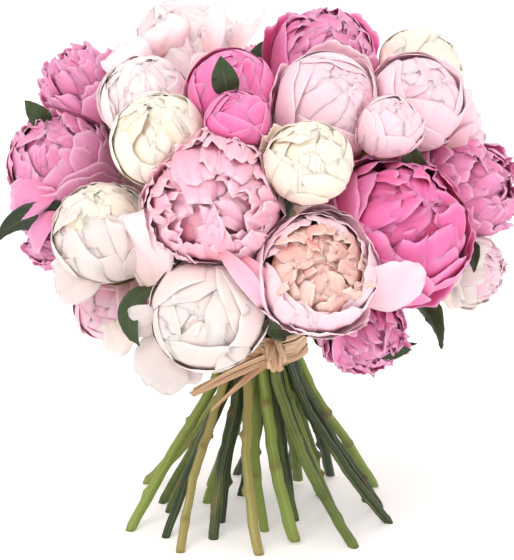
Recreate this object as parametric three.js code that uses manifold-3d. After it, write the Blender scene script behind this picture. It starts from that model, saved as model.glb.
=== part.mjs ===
// A hand-tied bunch of peonies standing on its cut stems: a dome of blooms, one stem to each bloom,
// a raffia tie round the stems at their narrowest, and leaves that hang out below the blooms.
// Millimetres, +Z up, the origin on the table under the middle of the bunch, its front towards -Y.
import * as THREE from "three";
import { mergeVertices } from "three/addons/utils/BufferGeometryUtils.js";
import Module from "manifold-3d";

// ---- Driving dimensions ----
const HEAD_WIDTH = 336; // the dome of blooms, side to side
const HEAD_DEPTH = 320; // and front to back
const CROWN_RISE = 123; // from its widest level up to its crown
const WIDEST_LEVEL = 225; // height of the widest level above the table
const TIE_LEVEL = 121; // height of the middle of the tie above the table
const TIE_HEIGHT = 23;
const TIE_WALL = 3.2; // thickness of the wound raffia
const FOOT_SPREAD = 96; // how far out the outermost cut ends stand
const FOOT_TURN = 26; // degrees that the stems turn round each other from the tie to the table
const STEM_LEAST = 5.2; // diameter of the thinnest stem that a bloom of no size would have
const STEM_GAIN = 0.032; // what each millimetre of bloom adds to its stem's diameter
const STEM_GAP = 1.1; // clearance between stems where the tie holds them
const TIE_GAP = 1.1; // clearance between the stems and the middle of the tie
const TIE_FLARE = 3.2; // how much wider the tie is at its ends than at its middle
const BLOOM_GAP = 0.6; // clearance between blooms that press on each other
const STEM_END_GAP = 1.7; // clearance between a stem and its bloom
const LEAF_THICKNESS = 1.1;
const LEAF_STALK_WIDTH = 2.4;
const TAIL_LENGTH = 62; // loose ends of the raffia
const KNOT_WIDTH = 17;

// ---- Finishes ----
const FINISHES = {
  white: { color: "#f4efe4", roughness: 0.6 },
  blush: { color: "#f3cfd6", roughness: 0.6 },
  pink: { color: "#e88fbd", roughness: 0.6 },
  rose: { color: "#d94b93", roughness: 0.6 },
  stem: { color: "#6f8a3c", roughness: 0.5 },
  leaf: { color: "#33502f", roughness: 0.45 },
  raffia: { color: "#c99f6c", roughness: 0.7 },
};

// ---- Blooms ----
// Each one: azimuth from the front towards +X and elevation of its place on the dome, how far its
// centre lies under the dome's surface, its diameter, the azimuth and elevation that it faces,
// its form and its colour.
const BLOOMS = [
  { azimuth: -16, elevation: 10, sink: 49, diameter: 88, faces: [-5, 20], form: "full", colour: "pink" },
  { azimuth: 47, elevation: -1, sink: 48, diameter: 98, faces: [20, 35], form: "full", colour: "rose" },
  { azimuth: 15, elevation: -8, sink: 27, diameter: 76, faces: [5, 25], form: "cup", colour: "blush" },
  { azimuth: -17, elevation: -21, sink: 27, diameter: 76, faces: [-5, 15], form: "globe", colour: "white" },
  { azimuth: -54, elevation: -3, sink: 40, diameter: 70, faces: [-10, 50], form: "cup", colour: "white" },
  { azimuth: -40, elevation: 28, sink: 37, diameter: 64, faces: [-10, 40], form: "globe", colour: "white" },
  { azimuth: 14, elevation: 22, sink: 31, diameter: 57, faces: [15, 35], form: "globe", colour: "white" },
  { azimuth: -10, elevation: 37, sink: 32, diameter: 42, faces: [0, 35], form: "cup", colour: "rose" },
  { azimuth: -23, elevation: 59, sink: 40, diameter: 62, faces: [20, 45], form: "globe", colour: "rose" },
  { azimuth: 42, elevation: 48, sink: 43, diameter: 74, faces: [25, 40], form: "globe", colour: "blush" },
  { azimuth: 70, elevation: 34, sink: 24, diameter: 64, faces: [35, 30], form: "globe", colour: "blush" },
  { azimuth: 47, elevation: 29, sink: 28, diameter: 44, faces: [30, 50], form: "globe", colour: "blush" },
  { azimuth: 83, elevation: 3, sink: 35, diameter: 78, faces: [60, 20], form: "full", colour: "pink" },
  { azimuth: -85, elevation: 11, sink: 30, diameter: 68, faces: [-25, 40], form: "cup", colour: "pink" },
  { azimuth: -66, elevation: 41, sink: 33, diameter: 62, faces: [-15, 55], form: "full", colour: "blush" },
  { azimuth: -96, elevation: 30, sink: 14, diameter: 57, faces: [-110, 55], form: "full", colour: "pink" },
  { azimuth: -128, elevation: 53, sink: 32, diameter: 80, faces: [-170, 65], form: "full", colour: "blush" },
  { azimuth: 117, elevation: 62, sink: 32, diameter: 77, faces: [5, 60], form: "full", colour: "rose" },
  { azimuth: 104, elevation: 36, sink: 14, diameter: 62, faces: [130, 55], form: "globe", colour: "white" },
  { azimuth: -61, elevation: -28, sink: 24, diameter: 48, faces: [-15, 5], form: "globe", colour: "blush" },
  { azimuth: 36, elevation: -32, sink: 19, diameter: 56, faces: [25, -5], form: "full", colour: "pink" },
  { azimuth: 75, elevation: -16, sink: 17, diameter: 52, faces: [75, 0], form: "cup", colour: "white" },
  { azimuth: -82, elevation: -10, sink: 27, diameter: 46, faces: [-70, 0], form: "full", colour: "pink" },
  { azimuth: -124, elevation: 0, sink: 38, diameter: 96, faces: [-125, 20], form: "full", colour: "blush" },
  { azimuth: -174, elevation: 18, sink: 36, diameter: 96, faces: [-175, 40], form: "cup", colour: "pink" },
  { azimuth: 143, elevation: 4, sink: 32, diameter: 92, faces: [145, 25], form: "full", colour: "rose" },
  { azimuth: 109, elevation: -7, sink: 25, diameter: 76, faces: [110, 15], form: "globe", colour: "blush" },
  { azimuth: -176, elevation: -23, sink: 26, diameter: 88, faces: [-175, 5], form: "globe", colour: "white" },
];

// Each form's radius as a share of half its diameter: at the middle of its face, half way to its
// rim, at its rim, at its widest, and at its foot.
const FORMS = {
  globe: [0.96, 0.98, 1.0, 0.98, 0.84],
  cup: [0.72, 0.88, 1.02, 1.0, 0.84],
  full: [0.8, 0.86, 0.98, 0.95, 0.8],
};
const GUARD_PETALS = 5; // the outer petals that show as lobes round a bloom
const LOBE_DEPTH = 0.045; // how far a petal's edge stands over the next, as a share of the radius
const BLOOM_SIDES = 15;
const BLOOM_BANDS = 9;

// ---- Small helpers ----
const radians = THREE.MathUtils.degToRad;
const up = new THREE.Vector3(0, 0, 1);

// The unit vector at an azimuth from the front towards +X and an elevation.
function heading(azimuth, elevation) {
  const a = radians(azimuth);
  const e = radians(elevation);
  return new THREE.Vector3(Math.sin(a) * Math.cos(e), -Math.cos(a) * Math.cos(e), Math.sin(e));
}

// A repeatable number from 0 to 1 for one piece and one purpose.
function scatter(index, purpose) {
  const wave = Math.sin(index * 12.9898 + purpose * 78.233) * 43758.5453;
  return wave - Math.floor(wave);
}

function smooth(x) {
  const c = THREE.MathUtils.clamp(x, 0, 1);
  return c * c * (3 - 2 * c);
}

const wasm = await Module();
wasm.setup();

// A closed geometry as a manifold-3d solid.
function toSolid(geometry) {
  const bare = geometry.clone();
  bare.deleteAttribute("normal");
  bare.deleteAttribute("uv");
  const merged = mergeVertices(bare, 1e-3);
  const vertProperties = new Float32Array(merged.attributes.position.array);
  const triVerts = new Uint32Array(merged.index.array);
  return new wasm.Manifold(new wasm.Mesh({ numProp: 3, vertProperties, triVerts }));
}

// A manifold-3d solid as a geometry.
function toGeometry(solid) {
  const mesh = solid.getMesh();
  const geometry = new THREE.BufferGeometry();
  geometry.setAttribute("position", new THREE.BufferAttribute(mesh.vertProperties, 3));
  geometry.setIndex(new THREE.BufferAttribute(mesh.triVerts, 1));
  geometry.computeVertexNormals();
  return geometry;
}

// ---- Where the blooms sit ----
// How far the dome's surface lies from the middle of its widest level, along a unit vector.
function domeReach(direction) {
  const x = direction.x / (HEAD_WIDTH / 2);
  const y = direction.y / (HEAD_DEPTH / 2);
  const z = direction.z / CROWN_RISE;
  return 1 / Math.hypot(x, y, z);
}

const headMiddle = new THREE.Vector3(0, 0, WIDEST_LEVEL);

// The point at an azimuth and elevation that lies a given depth under the dome's surface.
function inDome(azimuth, elevation, sink) {
  const direction = heading(azimuth, elevation);
  return headMiddle.clone().addScaledVector(direction, domeReach(direction) - sink);
}

function placeBloom(bloom) {
  return {
    ...bloom,
    radius: bloom.diameter / 2,
    centre: inDome(bloom.azimuth, bloom.elevation, bloom.sink),
    axis: heading(...bloom.faces),
  };
}

const blooms = BLOOMS.map(placeBloom);

// The flat faces where a bloom presses on its neighbours: for each, its unit normal out of the
// bloom and its distance from the bloom's centre.
function contacts(bloom) {
  const faces = [];
  for (const other of blooms) {
    const between = other.centre.clone().sub(bloom.centre);
    const distance = between.length();
    if (other === bloom || distance >= 1.1 * (bloom.radius + other.radius)) continue;
    const reach = (distance ** 2 + bloom.radius ** 2 - other.radius ** 2) / (2 * distance);
    faces.push({ normal: between.normalize(), reach: reach - BLOOM_GAP / 2 });
  }
  return faces;
}

// A bloom's own radius in a direction, before its neighbours press on it.
function formRadius(bloom, direction) {
  const tilt = direction.angleTo(bloom.axis) / Math.PI; // 0 at the face, 1 at the foot
  const levels = FORMS[bloom.form];
  const place = tilt * (levels.length - 1);
  const below = Math.min(Math.floor(place), levels.length - 2);
  return bloom.radius * THREE.MathUtils.lerp(levels[below], levels[below + 1], smooth(place - below));
}

// The radius that is left in a direction when the neighbours press.
function pressedRadius(bloom, direction, lobe = 0) {
  let radius = formRadius(bloom, direction) * (1 - LOBE_DEPTH * lobe);
  for (const { normal, reach } of bloom.contacts) {
    const along = direction.dot(normal);
    if (along > 0) radius = Math.min(radius, reach / along);
  }
  return radius;
}

for (const bloom of blooms) bloom.contacts = contacts(bloom);

// A bloom as one closed body: rings of points round the way it faces, with the guard petals as
// lobes that overlap in a spiral.
function bloomGeometry(bloom) {
  const geometry = new THREE.SphereGeometry(1, BLOOM_SIDES, BLOOM_BANDS);
  const turn = new THREE.Quaternion().setFromUnitVectors(new THREE.Vector3(0, 1, 0), bloom.axis);
  const point = new THREE.Vector3();
  const places = geometry.attributes.position;
  for (let i = 0; i < places.count; i++) {
    point.fromBufferAttribute(places, i).normalize();
    const round = Math.atan2(point.z, point.x) / (2 * Math.PI);
    const petal = (((round * GUARD_PETALS - point.y * 0.5) % 1) + 1) % 1;
    const side = 1 - point.y ** 4; // no lobes at the middle of the face or at the foot
    point.applyQuaternion(turn).normalize();
    const radius = pressedRadius(bloom, point, petal * side);
    point.multiplyScalar(radius);
    places.setXYZ(i, point.x, point.y, point.z);
  }
  return geometry;
}

// ---- Stems ----
const tieMiddle = new THREE.Vector3(0, 0, TIE_LEVEL);
const FAN_DROP = 45; // how far below the head's widest level the stems fan out to their blooms
const NECK_BEND = 0.5; // how much of a bloom's turn away from its stem's lean is made in its neck

// The way that a stem points where it meets its bloom: part of the way from the straight line out
// of the fan to the way that the bloom faces.
function neckWay(bloom) {
  const fan = headMiddle.clone().addScaledVector(up, -FAN_DROP);
  const lean = bloom.centre.clone().sub(fan).normalize();
  return bloom.axis.clone().lerp(lean, NECK_BEND).normalize();
}

// The point where each stem ends, under its bloom.
function stemTop(bloom) {
  const away = neckWay(bloom).negate();
  return bloom.centre.clone().addScaledVector(away, pressedRadius(bloom, away) + STEM_END_GAP);
}

const TURN_LEAD = 12; // degrees by which a stem is ahead of its bloom where the tie holds it
const PACKING_ROUNDS = 600;

const stems = blooms.map((bloom, index) => {
  const top = stemTop(bloom);
  const rise = top.clone().sub(tieMiddle);
  return {
    index,
    top,
    way: neckWay(bloom),
    radius: (STEM_LEAST + STEM_GAIN * bloom.diameter) / 2,
    lean: rise.angleTo(up),
    round: Math.atan2(rise.y, rise.x) + radians(TURN_LEAD),
  };
});

// Packs the stems inside the tie. Each starts on the side that its bloom is on, the further out
// the more its bloom leans, and they are drawn in and pushed apart until none overlaps.
function packInTie() {
  const most = Math.max(...stems.map((stem) => stem.lean));
  const start = 5 * Math.max(...stems.map((stem) => stem.radius)) * 2;
  for (const stem of stems) {
    const out = (start * stem.lean) / most;
    stem.waist = new THREE.Vector2(Math.cos(stem.round), Math.sin(stem.round)).multiplyScalar(out);
  }
  const gap = new THREE.Vector2();
  for (let round = 0; round < PACKING_ROUNDS; round++) {
    const drawIn = round < PACKING_ROUNDS * 0.7 ? 0.985 : 1;
    for (const stem of stems) stem.waist.multiplyScalar(drawIn);
    for (const [i, a] of stems.entries()) {
      for (const b of stems.slice(i + 1)) {
        gap.subVectors(b.waist, a.waist);
        const short = a.radius + b.radius + STEM_GAP - gap.length();
        if (short <= 0) continue;
        gap.setLength((short * 1.02) / 2);
        a.waist.sub(gap);
        b.waist.add(gap);
      }
    }
  }
}

packInTie();
const bundleRadius = Math.max(...stems.map((stem) => stem.waist.length() + stem.radius));
const outermost = Math.max(...stems.map((stem) => stem.waist.length()));

const SHORT_BY = 5; // the most that a stem is cut short of the table
const FOOT_STRAY = 7; // how far a cut end strays from its place in the splay
const FLARE_START = 0.22; // share of the drop over which the splay gets going

// The part of a stem from below the table, where it is cut off later, up to the tie.
class SplayedStem extends THREE.Curve {
  constructor(stem) {
    super();
    this.waist = stem.waist;
    this.stray = new THREE.Vector2(scatter(stem.index, 1) - 0.5, scatter(stem.index, 2) - 0.5);
    this.stray.multiplyScalar(2 * FOOT_STRAY);
  }
  getPoint(u, target = new THREE.Vector3()) {
    const drop = (1 - u) * 1.08; // 0 at the tie, 1 at the table
    const flare = Math.hypot(drop, FLARE_START) - FLARE_START;
    const whole = Math.hypot(1, FLARE_START) - FLARE_START;
    const spread = 1 + (FOOT_SPREAD / outermost - 1) * (flare / whole);
    const point = this.waist.clone().multiplyScalar(spread);
    point.rotateAround(new THREE.Vector2(), radians(FOOT_TURN) * drop);
    point.addScaledVector(this.stray, drop ** 2);
    return target.set(point.x, point.y, TIE_LEVEL * (1 - drop));
  }
}

// The part of a stem from the tie up to its bloom.
function risingStem(stem) {
  const from = new THREE.Vector3(stem.waist.x, stem.waist.y, TIE_LEVEL);
  const twist = radians(FOOT_TURN) / TIE_LEVEL;
  const start = new THREE.Vector3(stem.waist.y * twist, -stem.waist.x * twist, 1).normalize();
  const span = from.distanceTo(stem.top);
  const first = from.clone().addScaledVector(start, span * 0.42);
  const second = stem.top.clone().addScaledVector(stem.way, -span * 0.3);
  return new THREE.CubicBezierCurve3(from, first, second, stem.top);
}

const PATH_STEPS = 30;
const PASSING_GAP = 1.8; // clearance between stems that pass each other above the tie
const PASSING_ROUNDS = 60;
const EASE = 0.4; // how far a stem's shifts are evened out along it in each round

// Lets the rising stems give way to each other and to the blooms. Each one's path is a smooth
// course and a list of shifts from it, none at its two ends, that grow where something is in the way.
function letStemsPass() {
  for (const stem of stems) {
    stem.course = risingStem(stem).getPoints(PATH_STEPS);
    stem.shifts = stem.course.map(() => new THREE.Vector3());
    stem.path = stem.course.map((point) => point.clone());
  }
  for (let round = 0; round < PASSING_ROUNDS; round++) {
    for (const [i, a] of stems.entries()) {
      for (const b of stems.slice(i + 1)) pushApart(a, b);
      for (const bloom of blooms) if (bloom !== blooms[i]) pushOut(a, bloom);
    }
    for (const stem of stems) easeShifts(stem);
  }
  for (const stem of stems) stem.rise = new THREE.CatmullRomCurve3(stem.path);
}

// The clearance that two stems keep at a step of their paths: little where the tie holds them.
function clearance(step) {
  return THREE.MathUtils.lerp(STEM_GAP, PASSING_GAP, smooth((3 * step) / PATH_STEPS));
}

function pushApart(a, b) {
  const gap = new THREE.Vector3();
  for (let i = 1; i < PATH_STEPS; i++) {
    for (let j = 1; j < PATH_STEPS; j++) {
      gap.subVectors(b.path[j], a.path[i]);
      const short = a.radius + b.radius + clearance(Math.min(i, j)) - gap.length();
      if (short <= 0) continue;
      gap.setLength(short / 4);
      a.shifts[i].sub(gap);
      b.shifts[j].add(gap);
    }
  }
}

function pushOut(stem, bloom) {
  const way = new THREE.Vector3();
  for (let i = 1; i < PATH_STEPS; i++) {
    way.subVectors(stem.path[i], bloom.centre);
    const distance = way.length();
    if (distance > 1.2 * bloom.radius + stem.radius) continue;
    const kept = pressedRadius(bloom, way.normalize()) + stem.radius + BLOOM_GAP * 2;
    if (kept > distance) stem.shifts[i].addScaledVector(way, (kept - distance) / 3);
  }
}

// Evens out the shifts along a stem and moves its path's points to match.
function easeShifts(stem) {
  const { shifts, course, path } = stem;
  stem.shifts = shifts.map((shift, i) => {
    const eased = new THREE.Vector3();
    if (i === 0 || i === PATH_STEPS) return eased;
    return eased.addVectors(shifts[i - 1], shifts[i + 1]).multiplyScalar(0.5).lerp(shift, 1 - EASE);
  });
  for (const [i, point] of path.entries()) point.addVectors(course[i], stem.shifts[i]);
}

letStemsPass();

const STEM_SIDES = 8;
const STEM_STEPS = 18;
const tableSlab = toSolid(new THREE.BoxGeometry(600, 600, 60));

function stemGeometry(stem) {
  const path = new THREE.CurvePath();
  path.add(new SplayedStem(stem));
  path.add(stem.rise);
  const section = new THREE.Shape();
  for (let i = 0; i < STEM_SIDES; i++) {
    const angle = (2 * Math.PI * i) / STEM_SIDES;
    const [x, y] = [stem.radius * Math.cos(angle), stem.radius * Math.sin(angle)];
    if (i === 0) section.moveTo(x, y);
    else section.lineTo(x, y);
  }
  const whole = new THREE.ExtrudeGeometry(section, { steps: STEM_STEPS, extrudePath: path });
  // The outer stems stand on the table and every third of the others is cut a little short.
  const outer = stem.waist.length() + stem.radius > bundleRadius * 0.75;
  const short = outer || stem.index % 3 ? 0 : SHORT_BY * (0.4 + 0.6 * scatter(stem.index, 3));
  return toGeometry(toSolid(whole).subtract(tableSlab.translate([0, 0, short - 30])));
}

// ---- The tie ----
const WRAPS = 3; // turns of raffia that show as ridges
const tieInner = bundleRadius + TIE_GAP;
const tieOuter = tieInner + TIE_WALL;

// The band's profile: up its ridged outside, then down its inside, both waisted as the stems are.
function bandGeometry() {
  const profile = [];
  const points = WRAPS * 4;
  const flare = (share) => TIE_FLARE * (2 * share - 1) ** 2;
  for (let i = 0; i <= points; i++) {
    const share = i / points;
    const bulge = Math.abs(Math.sin(Math.PI * share * WRAPS));
    const radius = tieOuter - TIE_WALL * 0.45 * (1 - bulge) + flare(share);
    profile.push(new THREE.Vector2(radius, (share - 0.5) * TIE_HEIGHT));
  }
  for (let i = points; i >= 0; i -= 3) {
    const share = i / points;
    profile.push(new THREE.Vector2(tieInner + flare(share), (share - 0.5) * TIE_HEIGHT));
  }
  profile.push(profile[0].clone());
  return new THREE.LatheGeometry(profile, 20).rotateX(Math.PI / 2).translate(0, 0, TIE_LEVEL);
}

const KNOT_AZIMUTH = 14;
const knotMiddle = heading(KNOT_AZIMUTH, 0).multiplyScalar(tieOuter + KNOT_WIDTH * 0.12);
knotMiddle.z = TIE_LEVEL + TIE_HEIGHT * 0.12;

function knotGeometry() {
  const knot = new THREE.SphereGeometry(KNOT_WIDTH / 2, 10, 7);
  knot.scale(1.1, 0.62, 0.9).rotateZ(radians(KNOT_AZIMUTH));
  return knot.translate(knotMiddle.x, knotMiddle.y, knotMiddle.z);
}

// A loose end: a flat sheaf of raffia that leaves the knot and tapers to its cut tip.
function tailGeometry(azimuth, droop, length, width) {
  const depth = width * 0.45;
  const tail = new THREE.CylinderGeometry(width * 0.14, width * 0.5, length, 8, 2);
  const way = heading(azimuth, -droop);
  tail.translate(0, length / 2, 0).scale(1, 1, depth / width);
  const across = new THREE.Vector3().crossVectors(way, up).normalize();
  const turn = new THREE.Matrix4().makeBasis(across.clone().cross(way).negate(), way, across);
  tail.applyMatrix4(turn);
  return tail.translate(knotMiddle.x, knotMiddle.y, knotMiddle.z);
}

// Each loose end: the azimuth and droop of the way it points, its length and its width.
const TAILS = [
  [-66, 18, TAIL_LENGTH, 11],
  [-60, 31, TAIL_LENGTH * 0.92, 5],
];

function tieGeometry() {
  let tie = toSolid(bandGeometry()).add(toSolid(knotGeometry()));
  for (const tail of TAILS) tie = tie.add(toSolid(tailGeometry(...tail)));
  return toGeometry(tie);
}

// ---- Leaves ----
// The leaves that hang clear of the blooms. Each one: the stem that bears it, the share of the way
// up from the tie where it leaves, the point that its midrib bows towards and its tip, both as
// azimuth, elevation and depth under the dome, the breadth of its blade, the share of its length
// that is stalk, and the turn of its blade about its midrib.
const LEAVES = [
  { stem: 4, up: 0.6, over: [-70, 7, 3], tip: [-76, -7, -12], width: 21, stalk: 0.45, roll: 72 },
  { stem: 21, up: 0.6, over: [55, -17, 26], tip: [56, -31, -11], width: 20, stalk: 0.35, roll: 8 },
  { stem: 20, up: 0.25, over: [37, -48, 20], tip: [59, -36, 2], width: 20, stalk: 0.2, roll: 35 },
];
const LEAF_STEPS = 10;
const LEAF_FOLD = 0.3; // how steeply the two halves of a blade fall from its midrib
const LEAF_GAP = 1.1; // clearance between a stalk and its stem

// A leaf: a narrow stalk, then a blade folded along its midrib.
function leafGeometry(leaf) {
  const stem = stems[leaf.stem];
  const over = inDome(...leaf.over);
  const tip = inDome(...leaf.tip);
  const foot = stem.rise.getPoint(leaf.up);
  const away = over.clone().sub(foot).projectOnPlane(stem.rise.getTangent(leaf.up));
  foot.addScaledVector(away.normalize(), stem.radius + LEAF_GAP + LEAF_STALK_WIDTH / 2);
  const midrib = new THREE.QuadraticBezierCurve3(foot, over, tip);
  const along = tip.clone().sub(foot).normalize();
  const across = new THREE.Vector3().crossVectors(along, up).normalize();
  across.applyAxisAngle(along, radians(leaf.roll));
  const geometry = new THREE.BoxGeometry(1, 1, 1, LEAF_STEPS, 2, 1);
  const places = geometry.attributes.position;
  const point = new THREE.Vector3();
  for (let i = 0; i < places.count; i++) {
    point.fromBufferAttribute(places, i);
    const share = point.x + 0.5;
    const blade = THREE.MathUtils.clamp((share - leaf.stalk) / (1 - leaf.stalk), 0, 1);
    const breadth = Math.max(leaf.width * Math.sin(Math.PI * blade ** 0.85) ** 0.8, LEAF_STALK_WIDTH);
    const side = point.y * breadth * (share > 0.999 ? 0.5 : 1);
    const face = point.z * LEAF_THICKNESS - Math.abs(side) * LEAF_FOLD;
    const normal = new THREE.Vector3().crossVectors(midrib.getTangent(share), across).normalize();
    midrib.getPoint(share, point);
    point.addScaledVector(across, side).addScaledVector(normal, face);
    places.setXYZ(i, point.x, point.y, point.z);
  }
  return geometry;
}

// ---- The bunch ----
const bunch = new THREE.Group();

function addPiece(name, geometry, finish) {
  const material = new THREE.MeshStandardMaterial({ ...FINISHES[finish], metalness: 0 });
  const mesh = new THREE.Mesh(geometry, material);
  mesh.name = name;
  bunch.add(mesh);
  return mesh;
}

const number = (index) => String(index + 1).padStart(2, "0");
for (const [index, bloom] of blooms.entries()) {
  const mesh = addPiece(`bloom_${number(index)}`, bloomGeometry(bloom), bloom.colour);
  mesh.position.copy(bloom.centre);
}
for (const stem of stems) addPiece(`stem_${number(stem.index)}`, stemGeometry(stem), "stem");
addPiece("raffia_tie", tieGeometry(), "raffia");
for (const [index, leaf] of LEAVES.entries()) {
  addPiece(`leaf_${number(index)}`, leafGeometry(leaf), "leaf");
}

// Sets the origin under the middle of the bunch.
const extent = new THREE.Box3().setFromObject(bunch);
const middle = extent.getCenter(new THREE.Vector3());
bunch.position.set(-middle.x, -middle.y, 0);

export default bunch;
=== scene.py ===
"""A hand-tied bunch of peonies: petals, sepals, stems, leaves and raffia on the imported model."""

import math

import bmesh
import bpy
import numpy as np
from bpy.props import FloatProperty, FloatVectorProperty, IntProperty, PointerProperty
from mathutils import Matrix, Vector


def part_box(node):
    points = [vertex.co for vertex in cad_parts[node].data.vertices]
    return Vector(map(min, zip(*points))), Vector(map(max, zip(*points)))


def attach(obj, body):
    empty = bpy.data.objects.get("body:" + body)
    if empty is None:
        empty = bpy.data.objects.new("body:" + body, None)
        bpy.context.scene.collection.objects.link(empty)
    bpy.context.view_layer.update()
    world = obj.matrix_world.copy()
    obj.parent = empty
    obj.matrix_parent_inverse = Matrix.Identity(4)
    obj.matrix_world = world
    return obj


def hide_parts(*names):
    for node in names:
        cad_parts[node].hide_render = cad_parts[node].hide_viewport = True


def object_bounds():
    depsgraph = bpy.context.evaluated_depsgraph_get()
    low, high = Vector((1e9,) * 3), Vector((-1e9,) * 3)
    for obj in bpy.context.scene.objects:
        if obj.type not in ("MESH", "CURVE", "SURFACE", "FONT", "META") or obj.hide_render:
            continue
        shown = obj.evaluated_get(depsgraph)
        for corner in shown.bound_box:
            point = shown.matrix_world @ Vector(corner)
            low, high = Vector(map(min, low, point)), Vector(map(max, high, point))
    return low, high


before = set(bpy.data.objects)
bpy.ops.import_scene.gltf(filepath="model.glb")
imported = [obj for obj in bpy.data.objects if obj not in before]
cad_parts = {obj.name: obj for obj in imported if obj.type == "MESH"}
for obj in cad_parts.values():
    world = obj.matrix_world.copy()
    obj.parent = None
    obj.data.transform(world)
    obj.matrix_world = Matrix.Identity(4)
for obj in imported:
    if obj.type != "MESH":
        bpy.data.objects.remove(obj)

bl_info = {
    "name": "Peony Bunch",
    "version": (1, 0, 0),
    "blender": (4, 5, 0),
    "location": "3D View > Sidebar > Peonies",
    "description": "Makes a hand-tied bunch of peonies round its packed model",
    "category": "Add Mesh",
}

CAD_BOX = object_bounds()
BODY = "root"
MM = 0.001
UP = np.array((0.0, 0.0, 1.0))
TURN = 2 * math.pi
STEM_SIDES = 8  # corners of a stem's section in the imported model
LEAF_SIDES = 6  # and of a leaf's
WALL_LEVELS = 4  # steps in which a wall thins towards its rim
THINNEST = 0.15  # share of its thickness that it keeps there
HEAD_LEVEL = 0.65  # share of the bunch's height at which the head is widest


def srgb(red, green, blue):
    """A colour given as the 0 to 255 values that a screen shows, made linear."""
    shares = (channel / 255 for channel in (red, green, blue))
    return tuple(s / 12.92 if s <= 0.04045 else ((s + 0.055) / 1.055) ** 2.4 for s in shares)


# ---------------------------------------------------------------------------------------------
# Sizes and colours
# ---------------------------------------------------------------------------------------------


def colour(name, description, default):
    """A colour that the user can change."""
    return FloatVectorProperty(
        name=name, description=description, subtype="COLOR", size=3, min=0, max=1, default=default
    )


def length(name, description, default):
    """A length in metres that the user can change."""
    return FloatProperty(
        name=name, description=description, unit="LENGTH", min=0, precision=5, default=default
    )


def share(name, description, default):
    """A number from 0 to 1 that the user can change."""
    return FloatProperty(
        name=name, description=description, subtype="FACTOR", min=0, max=1, default=default
    )


class PetalSettings(bpy.types.PropertyGroup):
    """Sizes and colours of the petals."""

    thickness: length("Thickness", "Thickness of a petal", 0.4 * MM)
    press: length("Press", "Depth over which petals bend where two blooms press", 5 * MM)
    subsurface: share("Glow", "How much light spreads inside a petal", 0.55)
    # This white is greyer than the blooms' own white, as painted shade for the white blooms low in the head.
    white: colour("White", "Outer petals of the white blooms", srgb(232, 216, 212))
    # A greyer copy of the white: painted shade for the white petals that hang in the shadow under the head.
    pearl: colour("Pearl", "White petals that hang loose", srgb(212, 201, 200))
    cream: colour("Cream", "Crumpled middle petals of the white blooms", srgb(250, 239, 222))
    shell: colour("Shell", "Petals of the whitest pink blooms", srgb(253, 231, 234))
    blush: colour("Blush", "Petals of the palest pink blooms", srgb(250, 211, 224))
    peach: colour("Peach", "Crumpled middle petals of the blush cups", srgb(247, 205, 196))
    pale: colour("Pale pink", "Petals of the pale pink blooms", srgb(252, 193, 213))
    pink: colour("Pink", "Petals of the mid pink blooms", srgb(232, 152, 194))
    rose: colour("Rose", "Petals of the deep pink blooms", srgb(238, 124, 182))


class GreenSettings(bpy.types.PropertyGroup):
    """Sizes and colours of the stems, leaves and sepals."""

    leaf_thickness: length("Leaf thickness", "Thickness of a leaf's blade", 0.5 * MM)
    leaf: colour("Leaf", "Upper side of the leaves", srgb(26, 42, 22))
    leaf_vein: colour("Vein", "Veins of the leaves", srgb(88, 110, 56))
    sepal: colour("Sepal", "Sepals under the blooms", srgb(120, 146, 78))
    fresh: colour("Fresh stem", "Yellow green of the freshest stems", srgb(124, 142, 62))
    dark: colour("Dark stem", "Blue green of the darkest stems", srgb(30, 50, 22))
    tan: colour("Tan stem", "Brown that some stems have turned", srgb(160, 132, 86))
    pith: colour("Pith", "Cut ends of the stems", srgb(196, 196, 140))


class RaffiaSettings(bpy.types.PropertyGroup):
    """Sizes and colours of the raffia."""

    strands: IntProperty(name="Strands", description="Strands round the stems", default=22, min=1)
    thickness: length("Thickness", "Thickness of one strand", 0.35 * MM)
    light: colour("Light", "Palest raffia", srgb(248, 220, 186))
    dark: colour("Dark", "Darkest raffia", srgb(186, 138, 98))


class StageSettings(bpy.types.PropertyGroup):
    """The camera, the floor and the lights."""

    elevation: FloatProperty(
        name="Elevation",
        description="How far the camera looks down",
        subtype="ANGLE",
        default=math.radians(16),
    )
    distance: length("Distance", "From the camera to the bunch", 1.5)
    view_width: length("View width", "Width of what the camera sees at the bunch", 0.3444)
    view_height: length("View middle", "Height that the middle of the view looks at", 0.1659)
    sky: share("Sky", "Strength of the light from all round", 0.88)
    floor: colour("Floor", "Floor and backdrop", (0.92, 0.92, 0.92))


# ---------------------------------------------------------------------------------------------
# Materials
# ---------------------------------------------------------------------------------------------


class Value:
    """A number socket of a material, on which Python's arithmetic adds Math nodes."""

    def __init__(self, recipe, socket):
        self.recipe = recipe
        self.socket = socket

    def _math(self, operation, *operands):
        return self.recipe.node("ShaderNodeMath", {"operation": operation}, dict(enumerate(operands)))

    def __add__(self, other):
        return self._math("ADD", self, other)

    def __sub__(self, other):
        return self._math("SUBTRACT", self, other)

    def __mul__(self, other):
        return self._math("MULTIPLY", self, other)

    def __rsub__(self, other):
        return self._math("SUBTRACT", other, self)

    def __pow__(self, other):
        return self._math("POWER", self, other)

    __radd__ = __add__
    __rmul__ = __mul__

    def clamped(self):
        return self._math("MINIMUM", self._math("MAXIMUM", self, 0.0), 1.0)

    def sine(self):
        return self._math("SINE", self)

    def absolute(self):
        return self._math("ABSOLUTE", self)


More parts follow.
